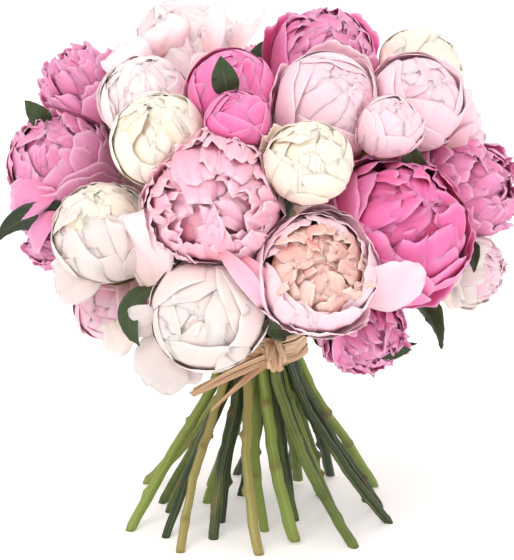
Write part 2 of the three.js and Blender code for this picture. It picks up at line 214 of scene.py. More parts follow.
class Recipe:
    """One material and the nodes that make it."""

    def __init__(self, name):
        self.material = bpy.data.materials.new(name)
        self.material.use_nodes = True
        self.tree = self.material.node_tree
        self.tree.nodes.clear()

    def node(self, kind, settings=None, inputs=None, output=0):
        """Adds a node, sets its settings and then its inputs, and returns one of its outputs."""
        made = self.tree.nodes.new(kind)
        for key, setting in (settings or {}).items():
            setattr(made, key, setting)
        for key, given in (inputs or {}).items():
            if isinstance(given, Value):
                self.tree.links.new(given.socket, made.inputs[key])
            else:
                made.inputs[key].default_value = given
        return Value(self, made.outputs[output]) if made.outputs else None

    def attribute(self, name):
        return self.node("ShaderNodeAttribute", {"attribute_name": name}, output="Fac")

    def uv(self, name):
        """The two numbers of a UV map."""
        place = self.node("ShaderNodeUVMap", {"uv_map": name})
        return [self.node("ShaderNodeSeparateXYZ", inputs={0: place}, output=part) for part in (0, 1)]

    def vector(self, x, y, z):
        return self.node("ShaderNodeCombineXYZ", inputs={0: x, 1: y, 2: z})

    def mix(self, factor, first, second):
        """Mixes two colours. Index 6 and 7 are the node's colour inputs, and 2 its colour output."""
        first, second = (
            (*c, 1) if isinstance(c, tuple) and len(c) == 3 else c for c in (first, second)
        )
        inputs = {0: factor, 6: first, 7: second}
        return self.node("ShaderNodeMix", {"data_type": "RGBA"}, inputs, output=2)

    def noise(self, where, scale, detail=3.0, roughness=0.55):
        inputs = {"Vector": where, "Scale": scale, "Detail": detail, "Roughness": roughness}
        return self.node("ShaderNodeTexNoise", inputs=inputs, output="Fac")

    def bump(self, height, strength, distance):
        inputs = {"Height": height, "Strength": strength, "Distance": distance}
        return self.node("ShaderNodeBump", inputs=inputs)

    def surface(self, **inputs):
        """Finishes the material with a Principled shader, its inputs named with underscores."""
        named = {key.replace("_", " "): given for key, given in inputs.items()}
        named = {key: (*g, 1) if key == "Base Color" and isinstance(g, tuple) else g
                 for key, g in named.items()}
        shader = self.node("ShaderNodeBsdfPrincipled", inputs=named)
        self.node("ShaderNodeOutputMaterial", inputs={"Surface": shader})
        return self.material


def petal_material(name, tint, deep, foot, rim):
    """A petal: tint over most of it, deep in the heart of the bloom, partly its deeper colour and partly
    painted shade, foot at its base, rim at its edge, partly its paler rim and partly a painted highlight.
    """
    settings = bpy.context.scene.peony_petals
    recipe = Recipe(name)
    across, along = recipe.uv("petal")
    heart = recipe.attribute("heart")
    tone = recipe.attribute("tone")
    veins_at = recipe.vector(across * 34.0, along * 1.6, tone * 19.0)
    veins = recipe.noise(veins_at, 1.0, 4.0)
    clouds = recipe.noise(recipe.vector(across * 2.2, along * 2.6, tone * 7.0), 1.0, 2.0)
    # depth mixes towards the deep shade in the heart of the bloom and towards each petal's base: partly the
    # petal's deeper colour, partly painted shade.
    depth = (heart * 0.7 + (1 - along) * 0.75 + (clouds - 0.5) * 0.5 + (tone - 0.5) * 0.3).clamped()
    shade = recipe.mix(depth**1.7, tint, deep)
    shade = recipe.mix(((1 - along) ** 5.0 * 0.8).clamped(), shade, foot)
    # edge lightens the rim: partly the petal's paler rim, partly a painted highlight.
    edge = ((along - 0.86) * 6.0).clamped() * (0.55 + 0.45 * clouds)
    shade = recipe.mix(edge * 0.6, shade, rim)
    streaks = ((veins - 0.5) * 3.0).clamped() * 0.3
    shade = recipe.mix(streaks, shade, tuple(0.82 * d + 0.18 * t for d, t in zip(deep, tint)))
    crinkle = veins * 0.7 + recipe.noise(recipe.vector(across * 9.0, along * 7.0, tone), 1.0) * 0.6
    return recipe.surface(
        Base_Color=shade,
        Roughness=0.52 + veins * 0.12,
        Subsurface_Weight=settings.subsurface,
        Subsurface_Radius=(1.0, 0.86, 0.82),
        Subsurface_Scale=1.2 * MM,
        Specular_IOR_Level=0.3,
        Sheen_Weight=0.12,
        Sheen_Roughness=0.4,
        Normal=recipe.bump(crinkle, 0.35, 0.5 * MM),
    )


# Each colour of petal: its material's name, its slot, and the shades deep in the bloom, partly deeper colour
# and partly painted shade, at the petal's foot and at its rim, partly paler colour and partly a painted
# highlight.
PETAL_COLOURS = {
    "white": ("white_petal", "petal_white", (242, 212, 196), (226, 226, 160), (255, 253, 248)),
    # The greyer white below is painted shade for the petals that hang under the head.
    "pearl": ("pearl_petal", "petal_white", (196, 180, 172), (206, 206, 170), (236, 230, 228)),
    "cream": ("cream_petal", "petal_white", (246, 214, 172), (226, 226, 160), (255, 251, 238)),
    "shell": ("shell_petal", "petal_blush", (244, 188, 200), (242, 222, 200), (255, 246, 246)),
    "blush": ("blush_petal", "petal_blush", (240, 158, 182), (240, 226, 190), (255, 238, 243)),
    "peach": ("peach_petal", "petal_blush", (204, 112, 102), (214, 150, 110), (254, 230, 222)),
    "pale": ("pale_pink_petal", "petal_blush", (224, 122, 150), (216, 140, 142), (255, 230, 239)),
    "pink": ("mid_pink_petal", "petal_pink", (206, 84, 138), (204, 104, 134), (250, 204, 226)),
    "rose": ("deep_pink_petal", "petal_rose", (196, 40, 104), (206, 72, 116), (252, 178, 216)),
}


def petal_materials():
    """For each colour of petal, its material and its slot."""
    settings = bpy.context.scene.peony_petals
    made = {}
    for colour_name, (name, slot, *shades) in PETAL_COLOURS.items():
        tint = tuple(getattr(settings, colour_name))
        made[colour_name] = petal_material(name, tint, *(srgb(*shade) for shade in shades)), slot
    return made


def leaf_material():
    """A waxy dark leaf with a pale midrib and side veins that run out and up from it."""
    g = bpy.context.scene.peony_greens
    recipe = Recipe("leaf_green")
    across, along = recipe.uv("petal")
    side = (across - 0.5).absolute() * 2.0
    tone = recipe.attribute("tone")
    midrib = (1 - side * 16.0).clamped()
    ribs = ((along * 62.0 - side * 13.0).sine() - 0.86) * 6.0
    ribs = ribs.clamped() * (1 - side) * 0.55
    place = recipe.node("ShaderNodeTexCoord", output="Object")
    mottle = recipe.noise(place, 210.0, 4.0)
    shade = recipe.mix((tone * 0.45 + (mottle - 0.45) * 0.8).clamped(), tuple(g.leaf), srgb(62, 84, 38))
    shade = recipe.mix((midrib * 0.7 + ribs * 0.5).clamped(), shade, tuple(g.leaf_vein))
    height = mottle * 0.35 - midrib * 0.9 - ribs
    return recipe.surface(
        Base_Color=shade,
        Roughness=0.34 + mottle * 0.16,
        Specular_IOR_Level=0.45,
        Subsurface_Weight=0.12,
        Subsurface_Radius=(0.4, 1.0, 0.2),
        Subsurface_Scale=1.0 * MM,
        Normal=recipe.bump(height, 0.5, 0.6 * MM),
    )


def sepal_material():
    """A matt, soft green sepal that is pink along its rim."""
    g = bpy.context.scene.peony_greens
    recipe = Recipe("sepal_green")
    across, along = recipe.uv("petal")
    place = recipe.node("ShaderNodeTexCoord", output="Object")
    mottle = recipe.noise(place, 180.0, 4.0)
    veins = recipe.noise(recipe.vector(across * 16.0, along * 1.5, 0.0), 1.0)
    shade = recipe.mix(mottle, tuple(g.sepal), srgb(164, 172, 110))
    shade = recipe.mix(((along - 0.72) * 2.4).clamped() * 0.7, shade, srgb(196, 128, 124))
    return recipe.surface(
        Base_Color=shade,
        Roughness=0.5 + veins * 0.15,
        Subsurface_Weight=0.2,
        Subsurface_Scale=1.0 * MM,
        Normal=recipe.bump(veins, 0.35, 0.4 * MM),
    )


def stem_material():
    """A smooth stem, fresh, dark or tan by its own tone, with fine ribs and brown scars at its joints."""
    g = bpy.context.scene.peony_greens
    recipe = Recipe("stem_green")
    around, along = recipe.uv("petal")
    tone = recipe.attribute("tone")
    scar = recipe.attribute("heart")
    place = recipe.node("ShaderNodeTexCoord", output="Object")
    clouds = recipe.noise(place, 42.0, 3.0)
    ribs = recipe.noise(recipe.vector((around * TURN).sine() * 5.0, along * 1.4, tone * 31.0), 1.6, 4.0)
    fine = recipe.noise(place, 620.0, 2.0)
    fresh = ((tone - 0.28) * 2.6 + (clouds - 0.5) * 1.1).clamped()
    shade = recipe.mix(fresh, tuple(g.dark), tuple(g.fresh))
    tanned = ((tone - 0.86) * 12.0).clamped() * (0.35 + clouds * 0.9)
    shade = recipe.mix(tanned.clamped(), shade, tuple(g.tan))
    shade = recipe.mix(((ribs - 0.5) * 2.6).clamped() * 0.5, shade, srgb(204, 212, 130))
    shade = recipe.mix(((clouds - 0.62) * 7.0).clamped() * 0.3, shade, srgb(120, 88, 52))
    shade = recipe.mix(scar, shade, srgb(122, 92, 58))
    return recipe.surface(
        Base_Color=shade,
        Roughness=0.42 + fine * 0.14 + scar * 0.2,
        Specular_IOR_Level=0.4,
        Subsurface_Weight=0.1,
        Subsurface_Radius=(0.5, 1.0, 0.2),
        Subsurface_Scale=1.2 * MM,
        Normal=recipe.bump(ribs * 0.8 + fine * 0.3 + scar * 0.4, 0.45, 0.5 * MM),
    )


def pith_material():
    """A stem's cut end: a wet green rim round a pale pith."""
    g = bpy.context.scene.peony_greens
    recipe = Recipe("stem_cut_end")
    place = recipe.node("ShaderNodeTexCoord", output="Object")
    grain = recipe.noise(place, 1400.0, 3.0)
    middle = recipe.attribute("heart")
    shade = recipe.mix(middle, srgb(128, 142, 66), tuple(g.pith))
    shade = recipe.mix(((grain - 0.5) * 2.0).clamped() * 0.5, shade, srgb(150, 120, 76))
    return recipe.surface(
        Base_Color=shade,
        Roughness=0.45,
        Normal=recipe.bump(grain, 0.6, 0.3 * MM),
    )


def raffia_material():
    """Dry raffia: straw to brown by the strand, with long fibres and darker streaks among them."""
    r = bpy.context.scene.peony_raffia
    recipe = Recipe("raffia")
    across, along = recipe.uv("petal")
    tone = recipe.attribute("tone")
    fibres = recipe.noise(recipe.vector(across * 13.0, along * 5.0, tone * 29.0), 1.0, 5.0, 0.7)
    patches = recipe.noise(recipe.vector(across, along * 9.0, tone * 11.0), 1.0, 2.0)
    shade = recipe.mix((tone * 0.55 + (fibres - 0.5) * 1.3 + 0.2).clamped(), tuple(r.dark), tuple(r.light))
    shade = recipe.mix(((patches - 0.58) * 5.0).clamped() * 0.5, shade, srgb(188, 118, 66))
    shade = recipe.mix(((0.36 - fibres) * 6.0).clamped() * 0.6, shade, srgb(104, 66, 38))
    return recipe.surface(
        Base_Color=shade,
        Roughness=0.55 + fibres * 0.2,
        Specular_IOR_Level=0.35,
        Sheen_Weight=0.1,
        Normal=recipe.bump(fibres, 0.8, 0.35 * MM),
    )


def floor_material():
    """A plain pale floor and backdrop."""
    recipe = Recipe("pale_floor")
    return recipe.surface(
        Base_Color=tuple(bpy.context.scene.peony_stage.floor),
        Roughness=0.9,
        Specular_IOR_Level=0.1,
        Emission_Color=(1.0, 0.98, 0.97, 1.0),
        Emission_Strength=0.24,
    )


# ---------------------------------------------------------------------------------------------
# Shared helpers
# ---------------------------------------------------------------------------------------------


def unit(vector):
    """A vector, or each row of an array of vectors, at length 1."""
    vector = np.asarray(vector, float)
    return vector / np.maximum(np.linalg.norm(vector, axis=-1, keepdims=True), 1e-12)


def smooth(x):
    """Goes from 0 to 1 as x does, level at both ends."""
    x = np.clip(x, 0, 1)
    return x * x * (3 - 2 * x)


def wander(x, phases):
    """A wavy line with no fixed beat, between about -1 and 1, from three phases."""
    first, second, third = phases
    return (
        0.5 * np.sin(2.1 * x + first) + 0.3 * np.sin(4.7 * x + second) + 0.2 * np.sin(9.3 * x + third)
    )


def heading(azimuth, elevation):
    """The unit vector at an azimuth from the front towards +X and an elevation, in degrees."""
    a, e = math.radians(azimuth), math.radians(elevation)
    return np.array((math.sin(a) * math.cos(e), -math.cos(a) * math.cos(e), math.sin(e)))


def head_middle():
    """The point on the bunch's axis at the height where the head is widest."""
    return np.array((0, 0, CAD_BOX[0][2] + HEAD_LEVEL * (CAD_BOX[1][2] - CAD_BOX[0][2])))


def in_head(azimuth, elevation, sink):
    """The point at an azimuth and elevation from the head's middle, a depth under its surface."""
    middle = head_middle()
    half = np.array((CAD_BOX[1][0], CAD_BOX[1][1], CAD_BOX[1][2] - middle[2]))
    way = heading(azimuth, elevation)
    return middle + way * (1 / np.linalg.norm(way / half) - sink)


def places_in_head(*places):
    """The points at several azimuths, elevations and depths in millimetres."""
    return [in_head(azimuth, elevation, depth * MM) for azimuth, elevation, depth in places]


def bow(foot, over, tip, count=12):
    """A line from foot to tip that bends towards a third point."""
    t = np.linspace(0, 1, count)[:, None]
    return foot * (1 - t) ** 2 + over * 2 * t * (1 - t) + tip * t**2


def grid_sheets(name, sizes):
    """A mesh of separate grids, one for each (columns, rows) in sizes, and where each starts.

    A grid's points still lie in its own square, from -1 to 1 both ways, ready to be put in place."""
    bm = bmesh.new()
    bm.loops.layers.uv.new("petal")
    starts = [0]
    for columns, rows in sizes:
        bmesh.ops.create_grid(bm, x_segments=columns, y_segments=rows, size=1, calc_uvs=True)
        starts.append(len(bm.verts))
    for face in bm.faces:
        face.smooth = True
    mesh = bpy.data.meshes.new(name)
    bm.to_mesh(mesh)
    bm.free()
    return mesh, starts


def read_points(mesh):
    """A mesh's vertices as an array."""
    points = np.empty(len(mesh.vertices) * 3, np.float32)
    mesh.vertices.foreach_get("co", points)
    return points.reshape(-1, 3).astype(float)


def write_points(mesh, points):
    """Puts a mesh's vertices in place."""
    mesh.vertices.foreach_set("co", np.ascontiguousarray(points, np.float32).ravel())
    mesh.update()


def write_attribute(mesh, name, values):
    """Gives each vertex of a mesh a number."""
    attribute = mesh.attributes.new(name, "FLOAT", "POINT")
    attribute.data.foreach_set("value", np.ascontiguousarray(values, np.float32))


def show(mesh, material, slot, replaced=(), thickness=None, thinning=None):
    """Puts a mesh in the scene as a piece of the bunch.

    thickness is that of its wall, and thinning says from 0 to 1 how much thinner each point's is."""
    piece = bpy.data.objects.new(mesh.name, mesh)
    bpy.context.scene.collection.objects.link(piece)
    mesh.materials.append(material)
    if thickness:
        wall = piece.modifiers.new("wall", "SOLIDIFY")
        wall.thickness = thickness
        wall.offset = 0
        if thinning is not None:
            group = piece.vertex_groups.new(name="wall")
            levels = np.round((1 - thinning) * WALL_LEVELS).astype(int)
            for level in range(WALL_LEVELS + 1):
                group.add(np.flatnonzero(levels == level).tolist(), level / WALL_LEVELS, "REPLACE")
            wall.vertex_group = group.name
            wall.thickness_vertex_group = THINNEST
    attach(piece, BODY)
    if replaced:
        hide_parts(*replaced)


def swept_line(node, near, sides):
    """The middles and radii of a swept node's rings, from its end nearest to a point to its other."""
    bm = bmesh.new()
    bm.from_mesh(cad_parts[node].data)
    bmesh.ops.remove_doubles(bm, verts=bm.verts, dist=1e-6)
    ring = sorted(bm.verts, key=lambda vert: (vert.co - Vector(near)).length)[:sides]
    seen = set(ring)
    middles, radii = [], []
    while ring:
        points = np.array([vert.co for vert in ring])
        middles.append(points.mean(0))
        radii.append(np.linalg.norm(points - middles[-1], axis=1).mean())
        beyond = {edge.other_vert(vert) for vert in ring for edge in vert.link_edges}
        ring = list(beyond - seen)
        seen.update(ring)
    bm.free()
    return np.array(middles), np.array(radii)


def resample(points, count):
    """A smooth line of count points evenly spaced along a rough one."""
    steps = np.linalg.norm(np.diff(points, axis=0), axis=1)
    places = np.concatenate(([0], np.cumsum(steps)))
    even = np.linspace(0, places[-1], count)
    line = np.stack([np.interp(even, places, points[:, axis]) for axis in range(3)], axis=1)
    for _ in range(max(2, count // 12)):
        line[1:-1] += 0.5 * ((line[:-2] + line[2:]) / 2 - line[1:-1])
    return line


def frames_along(line, first_side):
    """The side and normal at each point of a line, turning no more than it does."""
    ways = unit(np.gradient(line, axis=0))
    sides = np.empty_like(line)
    side = np.asarray(first_side, float)
    for i, way in enumerate(ways):
        side = unit(side - way * np.dot(side, way))
        sides[i] = side
    return sides, np.cross(ways, sides)


# ---------------------------------------------------------------------------------------------
# Blooms
# ---------------------------------------------------------------------------------------------


def ring(count, reach, shell, width, **changes):
    """A ring of petals. Angles are in degrees and lengths are shares of the bloom's radius.

    reach is the angle from the middle of the face at which a petal's tip lies, past it where it is
    negative; shell is how far out the petal lies, and width is half its breadth. The changes are:
    span, the angle that a petal covers, where it doesn't begin at the stem; dip, how much deeper
    its base lies; flare, how far its tip leans out; ruffle, how far its rim waves; notch, how
    deeply its rim is cut; twist, the most that it turns about its own length; scoop, how much
    rounder than the bloom it is across; heart, how deep in the bloom it counts for its colour."""
    usual = dict(span=0, dip=0.0, flare=0.0, ruffle=0.015, notch=0.03, twist=6, scoop=1.0, heart=0.0)
    return dict(usual, count=count, reach=reach, shell=shell, width=width, **changes)


GLOBE = [
    ring(5, (46, 72), (0.975, 0.99), 0.92, ruffle=0.012),
    ring(4, (24, 44), (0.925, 0.94), 0.96, ruffle=0.01),
    ring(4, (6, 22), (0.875, 0.89), 0.84, ruffle=0.01, notch=0.04),
    ring(3, (-10, 6), (0.825, 0.84), 0.7, ruffle=0.01, notch=0.05, span=130),
]
CRUMPLED = [
    ring(5, (50, 72), (0.975, 0.99), 0.9, flare=0.01, ruffle=0.014),
    ring(5, (36, 54), (0.94, 0.955), 0.86, ruffle=0.016, notch=0.05),
    ring(6, (22, 40), (0.91, 0.93), 0.68, ruffle=0.025, notch=0.06),
    ring(7, (8, 30), (0.88, 0.94), 0.52, ruffle=0.05, notch=0.07, twist=16, span=85, dip=0.05, scoop=1.15),
    ring(8, (-12, 16), (0.87, 0.95), 0.42, ruffle=0.07, notch=0.08, twist=30, heart=0.04, span=70, dip=0.06,
         scoop=1.25),
]
BOWL = [
    ring(5, (50, 72), (0.95, 1.0), 0.88, flare=0.02, ruffle=0.025),
    ring(5, (38, 54), (0.93, 0.97), 0.82, ruffle=0.03, notch=0.05),
    ring(9, (26, 44), (0.9, 0.98), 0.44, ruffle=0.07, notch=0.1, twist=25, span=70, dip=0.1, scoop=1.3),
    ring(14, (10, 34), (0.88, 0.98), 0.32, ruffle=0.09, notch=0.12, twist=40, heart=0.1, span=60, dip=0.13,
         scoop=1.45),
    ring(11, (-10, 20), (0.86, 0.98), 0.28, ruffle=0.1, notch=0.12, twist=60, heart=0.2, span=54, dip=0.15,
         scoop=1.5),
]
CUP = [
    ring(5, (60, 80), (0.96, 1.02), 0.88, flare=0.05, ruffle=0.03),
    ring(5, (44, 60), (0.93, 0.98), 0.8, flare=0.02, ruffle=0.035, notch=0.05),
    ring(6, (34, 52), (0.89, 0.95), 0.56, ruffle=0.05, notch=0.06, heart=0.05),
    ring(11, (24, 46), (0.82, 0.94), 0.36, ruffle=0.08, notch=0.1, twist=30, heart=0.12, span=60, dip=0.12,
         scoop=1.4),
    ring(15, (10, 34), (0.78, 0.92), 0.28, flare=0.03, ruffle=0.1, notch=0.12, twist=55, heart=0.3,
         span=52, dip=0.16, scoop=1.6),
    ring(12, (-8, 20), (0.74, 0.9), 0.24, flare=0.03, ruffle=0.11, notch=0.12, twist=70, heart=0.5,
         span=48, dip=0.18, scoop=1.6),
]
OPEN = [
    ring(5, (66, 90), (0.97, 1.03), 0.8, flare=0.1, ruffle=0.035, notch=0.04),
    ring(5, (48, 68), (0.94, 1.0), 0.76, flare=0.05, ruffle=0.035, notch=0.05),
    ring(6, (32, 52), (0.91, 0.97), 0.6, flare=0.03, ruffle=0.04, notch=0.06),
    ring(8, (18, 42), (0.86, 0.96), 0.42, flare=0.02, ruffle=0.06, notch=0.08, twist=25, heart=0.15, span=75,
         dip=0.1, scoop=1.3),
    ring(13, (-8, 28), (0.82, 0.96), 0.3, ruffle=0.09, notch=0.1, twist=50, heart=0.35, span=58, dip=0.15,
         scoop=1.5),
]
FULL = [
    ring(5, (70, 94), (0.97, 1.03), 0.78, flare=0.1, ruffle=0.05, notch=0.06),
    ring(6, (56, 76), (0.95, 1.01), 0.68, flare=0.08, ruffle=0.06, notch=0.07),
    ring(6, (44, 64), (0.94, 1.02), 0.56, flare=0.07, ruffle=0.08, notch=0.09, twist=15, span=95, dip=0.03,
         scoop=1.1),
    ring(8, (30, 54), (0.93, 1.04), 0.46, flare=0.06, ruffle=0.1, notch=0.1, twist=28, span=76, dip=0.06,
         scoop=1.2),
    ring(10, (12, 40), (0.91, 1.04), 0.38, flare=0.04, ruffle=0.12, notch=0.11, twist=45, heart=0.05,
         span=64, dip=0.1, scoop=1.35),
    ring(9, (-8, 24), (0.89, 1.02), 0.34, flare=0.02, ruffle=0.13, notch=0.12, twist=60, heart=0.12, span=58,
         dip=0.12, scoop=1.4),
]
FRILLY = [
    ring(5, (76, 100), (0.95, 1.02), 0.66, flare=0.12, ruffle=0.05, notch=0.06),
    ring(9, (60, 88), (0.93, 1.03), 0.42, flare=0.08, ruffle=0.07, notch=0.1, twist=25, span=65, dip=0.1,
         scoop=1.3),
    ring(13, (40, 70), (0.92, 1.04), 0.34, flare=0.06, ruffle=0.09, notch=0.13, twist=40, span=56, dip=0.13,
         scoop=1.45),
    ring(15, (16, 50), (0.9, 1.03), 0.3, flare=0.04, ruffle=0.1, notch=0.14, twist=55, heart=0.08,
         span=50, dip=0.16, scoop=1.55),
    ring(11, (-6, 26), (0.87, 1.0), 0.27, flare=0.02, ruffle=0.11, notch=0.14, twist=70, heart=0.2,
         span=48, dip=0.17, scoop=1.6),
]
# Looser petals round the outside of a bloom, which fill the gaps to its neighbours.
GUARD = ring(4, (76, 104), (0.98, 1.05), 0.66, flare=0.17, ruffle=0.045, notch=0.06)
# The same where they hug the bloom instead.
HUGGING = dict(GUARD, shell=(1.01, 1.02), flare=0.0, ruffle=0.015)
# Petals that close the hollow under the middle of every bloom.
CORE = ring(8, (-14, 10), (0.77, 0.85), 0.42, ruffle=0.06, notch=0.1, twist=25, heart=0.35, span=100,
            scoop=1.1)
KINDS = {"globe": GLOBE, "crumpled": CRUMPLED, "bowl": BOWL, "cup": CUP, "open": OPEN, "full": FULL,
         "frilly": FRILLY}

# Each bloom: its kind, the azimuth and elevation that it faces, and the colours of its outer and of
# its inner petals.
BLOOMS = [
    ("full", (-4, 14), "pale", "pale"),
    ("open", (28, 38), "rose", "rose"),
    ("cup", (5, 28), "blush", "peach"),
    ("globe", (-16, 16), "white", "white"),
    ("crumpled", (-15, 55), "white", "cream"),
    ("crumpled", (-10, 55), "cream", "cream"),
    ("crumpled", (8, 58), "cream", "cream"),
    ("globe", (5, 66), "rose", "rose"),
    ("globe", (15, 62), "rose", "rose"),
    ("globe", (24, 38), "blush", "blush"),
    ("globe", (30, 42), "blush", "blush"),
    ("globe", (25, 58), "blush", "blush"),
    ("frilly", (50, 18), "pink", "pink"),
    ("open", (-25, 55), "pink", "pink"),
    ("crumpled", (-15, 60), "shell", "shell"),
    ("frilly", (-80, 50), "pink", "pink"),
    ("full", (-100, 60), "shell", "shell"),
    ("bowl", (15, 45), "rose", "pink"),
    ("globe", (95, 50), "cream", "cream"),
    ("globe", (-15, 5), "pale", "pale"),
    ("frilly", (25, -10), "pink", "pink"),
    ("cup", (70, 0), "white", "blush"),
    ("frilly", (-70, 0), "pink", "pink"),
    ("full", (-125, 20), "pale", "pale"),
    ("cup", (-175, 40), "pink", "rose"),
    ("full", (145, 25), "rose", "rose"),
    ("globe", (110, 15), "blush", "blush"),
    ("globe", (-175, 5), "white", "white"),
]
LOOSE_KINDS = ("open", "frilly", "bowl")  # kinds whose outermost petals stand loose

# Loose outer petals. Each one: the bloom's number, its colour, and for each petal the angle round
# the bloom clockwise from the top, reach, shell, half breadth and flare.
LOOSE_PETALS = [
    (3, "blush", [(150, 82, 1.02, 0.66, 0.12), (215, 84, 1.02, 0.6, 0.08), (20, 70, 1.02, 0.6, 0.1)]),
    (10, "blush", [(30, 70, 1.02, 0.7, 0.14), (300, 80, 1.0, 0.7, 0.1)]),
    (11, "blush", [(70, 76, 1.03, 0.7, 0.2), (350, 76, 1.0, 0.6, 0.1)]),
    (7, "cream", [(320, 74, 1.02, 0.5, 0.16), (60, 84, 1.0, 0.6, 0.08)]),
    (12, "blush", [(40, 74, 1.03, 0.6, 0.16), (140, 80, 1.0, 0.6, 0.08)]),
    (2, "rose", [(222, 86, 1.02, 0.66, 0.2), (285, 84, 1.02, 0.66, 0.16), (345, 80, 1.02, 0.6, 0.2)]),
    (1, "pale", [(30, 80, 1.0, 0.42, 0.3), (250, 88, 1.02, 0.6, 0.1)]),
]
# Petals that hang or stand free of the blooms. Each one: its colour, then the azimuth, elevation and
# depth in the head of its foot, of the point that it bends towards and of its tip, its breadth, and
# how far its sides bend out (over 0) or in (under 0).
FREE_PETALS = [
    ("blush", (24, -13, 25), (30, -10, 4), (36, -3, -3), 40, 0.25),
    ("pearl", (-27, -23, 15), (-30, -22, -2), (-36, -18, 6), 31, -0.2),
    ("pearl", (-22, -30, 11), (-26, -25, -7), (-32, -37, -22), 40, -0.25),
    ("pearl", (-20, -30, 14), (-22, -30, -3), (-25, -38, -12), 28, 0.15),
    ("shell", (-36, -18, 36), (-32, -1, 30), (-36, 9, 31), 44, 0.1),
    ("pearl", (-52, -10, 32), (-49, -11, 6), (-57, -13, 3), 32, 0.2),
    ("pale", (-10, 0, 20), (-4, -4, 11), (3, -17, 16), 12, 0.3),
    ("pale", (-5, -2, 24), (0, -5, 14), (5, -14, 22), 11, -0.2),
    ("pink", (77, 2, 31), (75, 2, 16), (83, -2, 4), 17, 0.3),
    ("pink", (-74, 7, 30), (-72, 4, 13), (-82, 0, 4), 28, 0.2),
    ("pink", (-69, 0, 31), (-69, -2, 17), (-75, -10, 12), 22, 0.2),
    ("blush", (80, 23, 30), (75, 24, 8), (86, 25, 2), 30, 0.2),
    ("blush", (78, 17, 34), (75, 17, 17), (84, 18, 10), 24, 0.2),
    ("white", (67, -17, 26), (64, -18, 13), (73, -24, 5), 24, 0.2),
    ("white", (-50, -30, 23), (-47, -29, 6), (-56, -35, 0), 26, 0.15),
    ("pink", (29, -27, 21), (25, -27, 4), (32, -39, 0), 22, 0.3),
    ("pink", (37, -28, 14), (38, -28, 0), (49, -33, 3), 22, 0.2),
    ("shell", (-101, 59, 24), (-78, 59, 4), (-98, 59, -5), 38, 0.25),
    ("shell", (-98, 69, 23), (-63, 71, 2), (-106, 74, -4), 38, -0.2),
    ("shell", (-104, 78, 25), (-44, 83, 12), (-175, 83, 2), 36, 0.25),
    ("shell", (-90, 49, 27), (-77, 47, 9), (-94, 47, 0), 34, 0.2),
]
BROAD_GRID = (18, 17)  # cells of a broad petal
NARROW_GRID = (12, 10)  # cells of a narrow one
NARROW = 0.45  # half breadths under this, as shares of the bloom's radius, get the narrow grid
FREE_PETAL_STEPS = 24  # points along a free petal's middle
NEIGHBOURS_WITHIN = 1.25  # share of two blooms' radii within which they may press
FOOT = math.radians(172)  # the angle from the middle of a bloom's face at which its outer petals begin


class Bloom:
    """Where a bloom sits: its middle, radius, the way that it faces and the way that its stem comes."""

    def __init__(self, index):
        self.number = f"{index + 1:02d}"
        self.node = f"bloom_{self.number}"
        low, high = (np.array(corner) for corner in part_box(self.node))
        self.centre = (low + high) / 2
        self.radius = (high - low).max() / 2
        self.kind, facing, self.outer, self.inner = BLOOMS[index]
        self.face = heading(*facing)
        self.top = unit(UP - self.face * np.dot(UP, self.face))
        self.right = np.cross(self.top, self.face)
        self.stem_line, self.stem_radii = swept_line(f"stem_{self.number}", self.centre, STEM_SIDES)
        self.neck = unit(self.centre - self.stem_line[0])
        self.presses = []

    def meet(self, others):
        """Notes the neighbours that this bloom presses on."""
        for other in others:
            between = other.centre - self.centre
            distance = np.linalg.norm(between)
            if other is self or distance > NEIGHBOURS_WITHIN * (self.radius + other.radius):
                continue
            reach = (distance**2 + self.radius**2 - other.radius**2) / (2 * distance)
            self.presses.append((between / distance, reach, other.centre, other.radius))

    def press(self, points, soft):
        """Bends points back where they would enter a neighbour."""
        for normal, reach, middle, radius in self.presses:
            beyond = (points - self.centre) @ normal - (reach - soft)
            kept = soft * (1 - np.exp(-np.maximum(beyond, 0) / soft))
            inside = smooth((1.1 * radius - np.linalg.norm(points - middle, axis=1)) / (0.12 * radius))
            points = points - np.outer((np.maximum(beyond, 0) - kept) * inside, normal)
        return points


def pick(rng, span):
    """A number from a span, or the number itself where there is only one."""
    return rng.uniform(*span) if isinstance(span, tuple) else span


